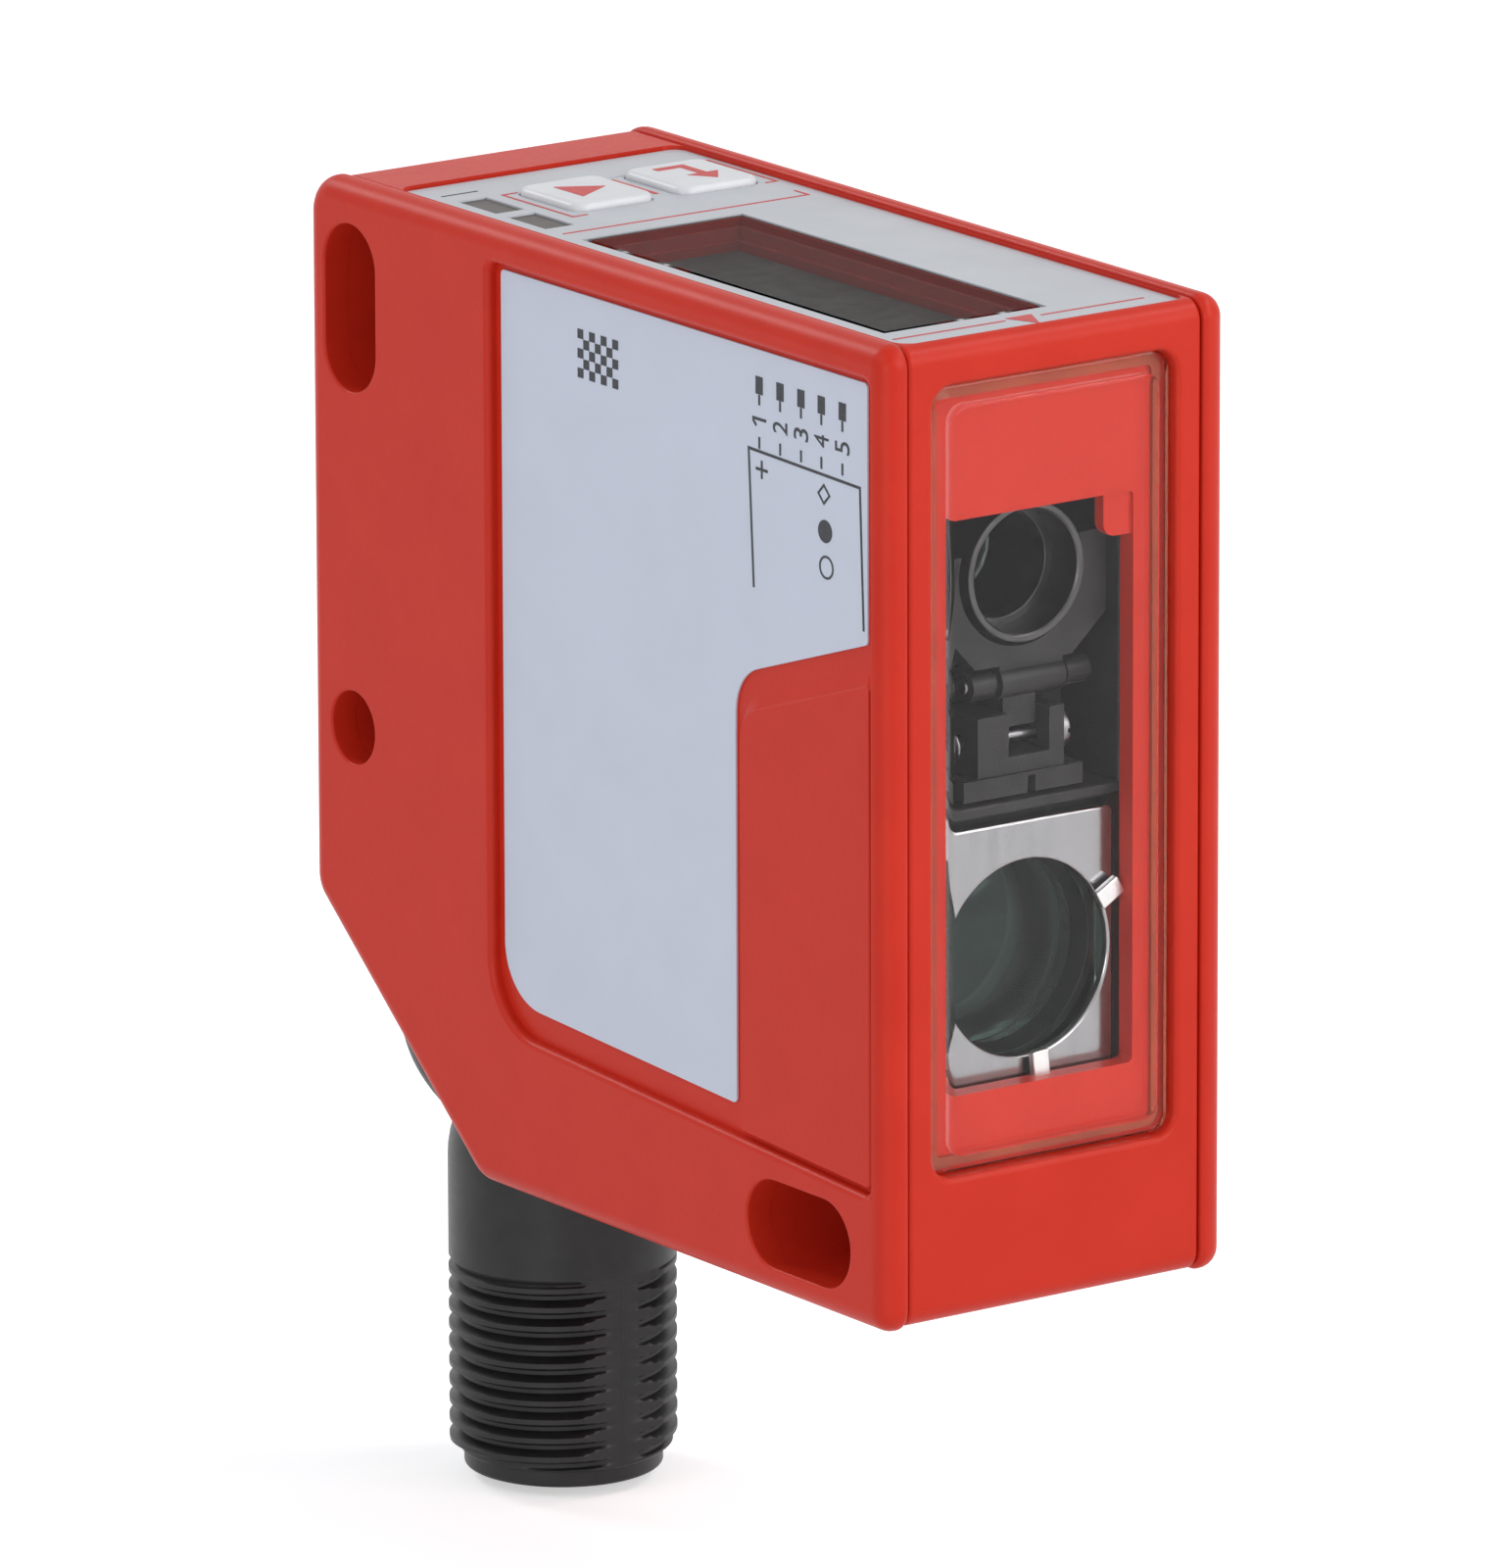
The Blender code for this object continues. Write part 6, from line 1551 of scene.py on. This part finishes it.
def makeConnectorShell():
    turret, edge, top = connector["turret"], connector["turretEdge"], connector["turretHeight"]
    gap, neck, nose, reach = connector["gap"], connector["neck"], connector["nose"], connector["reach"]
    groove, neckEnd, inside = connector["clipGroove"], connector["neckEnd"], -walls["chamfer"] - gap
    clipFront, clipBack = inside + connector["clipFront"], inside - connector["clipBack"]
    corners = [
        (0.0, top, 0.0), (turret, top, edge), (turret, gap, 0.2), (neck, gap, 0.0), (neck, clipFront, 0.0),
        (groove, clipFront, 0.0), (groove, clipBack, 0.0), (neck, clipBack, 0.0),
        (neck, neckEnd, connector["smallRound"]), (0.0, neckEnd, 0.0),
    ]
    shell = lathe("connectorShell", corners, swivelPlace)
    threadEnd = reach - connector["ringLength"]
    threadTop = threadEnd - thread["turns"] * thread["pitch"]
    dome = (nose + gap) / math.cos(slopeAngle)
    overlap, rows = connector["overlap"], connector["shankRows"]
    shank = [(0.0, threadTop + overlap, 0.0)]
    shank += [(nose, threadTop + overlap + (dome - threadTop - overlap) * step / rows, 0.0) for step in range(rows)]
    shank += [(nose * math.cos(arcStep * step), dome - nose * math.sin(arcStep * step), 0.0)
              for step in range(connector["domeSteps"])]
    shank.append((0.0, dome - nose, 0.0))
    weld(shell, lathe("shank", shank, nosePlace, sides=120))
    ring = connector["ring"]
    ringTop = threadEnd - overlap
    foot = [(0.0, reach, 0.0), (ring, reach, connector["ringRound"]), (ring, ringTop, 0.0), (0.0, ringTop, 0.0)]
    weld(shell, makeThread(threadTop, threadEnd))
    weld(shell, lathe("endRing", foot, nosePlace, sides=120))

    pinFace = reach - connector["socketDepth"]
    socketBack = pinFace - connector["insertLength"] - connector["solderRoom"]
    leadBore = connector["leadBore"]
    carve(shell, rod("socket", connector["socket"], *along(nosePlace, reach + past, socketBack), 96))
    carve(shell, rod("noseBore", leadBore, *along(nosePlace, socketBack + past, connector["noseBoreTop"])))
    carve(shell, rod("neckBore", leadBore, *along(swivelPlace, neckEnd - past, connector["neckBoreTop"])))
    sealOut, sealIn = [connector["sealMiddle"] + side * connector["sealHalf"] for side in (1, -1)]
    depth = connector["sealDepth"]
    sealRoom = [(sealOut, -past, 0.0), (sealOut, depth, 0.1), (sealIn, depth, 0.1), (sealIn, -past, 0.0)]
    carve(shell, lathe("sealRoom", sealRoom, swivelPlace, True))
    half = connector["keyWidth"] / 2
    key = block("codingKey", (-half, connector["socket"] - half, pinFace + gap),
                (half, connector["socket"] + connector["keyRoot"], threadEnd))
    soften(key, connector["keyRound"], 3)
    key.data.transform(nosePlace)
    weld(shell, key)
    return finishPiece(shell, "blackPlastic", ["connector_shell"], "connector", 32)


def pinPlaces():
    circle = contact["circle"]
    turns = [math.radians(45 + 90 * turn) for turn in range(4)]
    return [(circle * math.cos(turn), circle * math.sin(turn)) for turn in turns] + [(0.0, 0.0)]


def makeContacts():
    pinFace = connector["reach"] - connector["socketDepth"]
    back = pinFace - connector["insertLength"]
    radius, edge = connector["socket"] - contact["insertGap"], contact["insertRound"]
    corners = [(0.0, pinFace, 0.0), (radius, pinFace, edge), (radius, back, edge), (0.0, back, 0.0)]
    insert = lathe("contactInsert", corners, nosePlace)
    (wide, rim, floor), dishEnd = contact["dish"], pinFace - contact["dishDepth"]
    dish = [(0.0, pinFace + past, 0.0), (wide, pinFace + past, 0.0), (rim, pinFace, 0.0),
            (floor, dishEnd, 0.0), (0.0, dishEnd, 0.0)]
    bore = contact["pin"] + contact["pinGap"]
    for x, y in pinPlaces():
        ends = [nosePlace @ Vector((x, y, height)) for height in (back - past, pinFace + past)]
        carve(insert, rod("pinBore", bore, *ends, 40))
        carve(insert, lathe("pinDish", dish, nosePlace @ Matrix.Translation((x, y, 0)), sides=48))
    finishPiece(insert, "blackPlastic", ["contact_insert"], "connector")
    tip, tail, radius = pinFace + contact["tip"], back - contact["tail"], contact["pin"]
    for number, (x, y) in enumerate(pinPlaces(), start=1):
        profile = [(0.0, tip, 0.0), (radius, tip, radius * 0.9), (radius, tail, 0.0), (0.0, tail, 0.0)]
        pin = lathe(f"contactPin{number}", profile, nosePlace @ Matrix.Translation((x, y, 0)), sides=40)
        finishPiece(pin, "goldContact", [f"contact_pin_{number}"], "connector")


def makeSwivelSeal():
    radius, section = connector["sealMiddle"], connector["sealRadius"]
    middle = connector["gap"] + section
    ring = [math.radians(15 * step) for step in range(24)]
    corners = [(radius + section * math.cos(turn), middle - section * math.sin(turn), 0.0) for turn in ring]
    seal = lathe("swivelSeal", corners, swivelPlace, True)
    return finishPiece(seal, "rubberBlack", ["swivel_seal"], "connector")


makeConnectorShell()
makeContacts()
makeSwivelSeal()
print("connector ready")


# pieces whose drawn shape is kept, each with its own finish

keptFinishes = {
    "clearCover": ["display_pane"],
    "displayGlass": ["display_module"],
    "smokedLight": ["front_status_light", "rear_status_light"],
    "keyPlastic": ["front_status_lamp", "rear_status_lamp"],
    "amberSeal": ["window_seal"],
    "boardGreen": ["display_board", "main_board", "receiver_board"],
    "blackPlastic": ["processor_chip", "regulator_chip", "driver_chip", "receiver_chip", "board_link",
                     "up_switch", "select_switch"],
    "lensGlass": ["collimator_lens"],
    "steel": ["laser_diode", "swivel_retainer"],
}


def dressKeptPieces():
    for finish, names in keptFinishes.items():
        for name in names:
            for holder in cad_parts[name].material_slots:
                holder.material = finishes[finish]


dressKeptPieces()
print("kept pieces dressed")


# studio

studio = {
    "azimuth": 35.64,
    "elevation": 14.56,
    "roll": -0.176,
    "distance": 0.89,
    "lens": 405.0,
    "aim": (-0.0105, 0.00124, -0.00383),
    "floorGap": 0.0006,
    "floorGlow": 0.5,
    "sky": (0.9, 0.93, 1.0, 1.0),
    "skyStrength": 0.34,
    "backdrop": (1.0, 1.0, 1.0, 1.0),
}


def towards(azimuth, elevation):
    # the direction in which a camera or lamp stands from the sensor
    turn, lift = math.radians(azimuth), math.radians(elevation)
    return Vector((-math.sin(turn) * math.cos(lift), -math.cos(turn) * math.cos(lift), math.sin(lift)))


def makeCamera():
    back, roll = towards(studio["azimuth"], studio["elevation"]), math.radians(studio["roll"])
    right = Vector((0, 0, 1)).cross(back).normalized()
    up = back.cross(right)
    right, up = right * math.cos(roll) + up * math.sin(roll), up * math.cos(roll) - right * math.sin(roll)
    data = bpy.data.cameras.new("camera")
    data.lens = studio["lens"]
    data.clip_start, data.clip_end = 0.01, 20.0
    camera = addObject("camera", data)
    turned = Matrix((right, up, back)).transposed().to_4x4()
    camera.matrix_world = Matrix.Translation(Vector(studio["aim"]) + back * studio["distance"]) @ turned
    bpy.context.scene.camera = camera


def seenDirectly(tree, strength):
    # this strength for rays from the camera and for what metal and glass show, else nothing
    path = tree.nodes.new("ShaderNodeLightPath")
    total = path.outputs["Is Camera Ray"]
    for ray in ("Is Glossy Ray", "Is Transmission Ray"):
        larger = tree.nodes.new("ShaderNodeMath")
        larger.operation = "MAXIMUM"
        tree.links.new(total, larger.inputs[0])
        tree.links.new(path.outputs[ray], larger.inputs[1])
        total = larger.outputs["Value"]
    scaled = tree.nodes.new("ShaderNodeMath")
    scaled.operation = "MULTIPLY"
    scaled.inputs[1].default_value = strength
    tree.links.new(total, scaled.inputs[0])
    return scaled.outputs["Value"]


def makeFloor():
    # pale to the camera, plain grey to the light that falls on the sensor
    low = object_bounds()[0].z - studio["floorGap"]
    shape = bmesh.new()
    bmesh.ops.create_grid(shape, x_segments=1, y_segments=1, size=4.0)
    floor = holdMesh("floor", shape, Matrix.Translation((0, 0, low)))
    recipe = Recipe("floorPaper")
    recipe.tone(recipe.noise(90.0, 3.0), (0.80, 0.80, 0.80), (0.83, 0.83, 0.83), 0.3, 0.7)
    recipe.settle(Roughness=0.9)
    glow = recipe.add("ShaderNodeEmission")
    recipe.link(seenDirectly(recipe.tree, studio["floorGlow"]), glow.inputs["Strength"])
    both = recipe.add("ShaderNodeAddShader")
    recipe.link(recipe.shader.outputs["BSDF"], both.inputs[0])
    recipe.link(glow.outputs["Emission"], both.inputs[1])
    recipe.link(both.outputs["Shader"], recipe.tree.nodes["Material Output"].inputs["Surface"])
    floor.data.materials.append(recipe.material)


def makeWorld():
    world = bpy.data.worlds.new("studioWorld")
    world.use_nodes = True
    tree = world.node_tree
    plain, white = tree.nodes["Background"], tree.nodes.new("ShaderNodeBackground")
    for node, colour, strength in (plain, studio["sky"], studio["skyStrength"]), (white, studio["backdrop"], 1.0):
        node.inputs["Color"].default_value = colour
        node.inputs["Strength"].default_value = strength
    mix = tree.nodes.new("ShaderNodeMixShader")
    tree.links.new(seenDirectly(tree, 1.0), mix.inputs["Fac"])
    tree.links.new(plain.outputs["Background"], mix.inputs[1])
    tree.links.new(white.outputs["Background"], mix.inputs[2])
    tree.links.new(mix.outputs["Shader"], tree.nodes["World Output"].inputs["Surface"])
    bpy.context.scene.world = world


lamps = {
    # name: azimuth from the camera, elevation, distance, size, power
    "keyLight": (-50.0, 40.0, 0.7, 0.5, 0.9),
    "fillLight": (55.0, 25.0, 0.8, 0.6, 3.4),
    "frontLight": (-20.0, 5.0, 0.7, 0.2, 0.9),
    "sideEdgeLight": (-126.0, 36.0, 0.7, 0.22, 1.0),
    "frontEdgeLight": (100.0, 50.0, 0.7, 0.22, 0.9),
}


def makeLamps():
    for name, (azimuth, elevation, distance, size, power) in lamps.items():
        back = towards(studio["azimuth"] - azimuth, elevation)
        data = bpy.data.lights.new(name, "AREA")
        data.shape = "DISK"
        data.size = size
        data.energy = power
        facing = back.to_track_quat("Z", "Y").to_matrix().to_4x4()
        addObject(name, data).matrix_world = Matrix.Translation(back * distance) @ facing


makeCamera()
makeFloor()
makeWorld()
makeLamps()
print("studio ready")
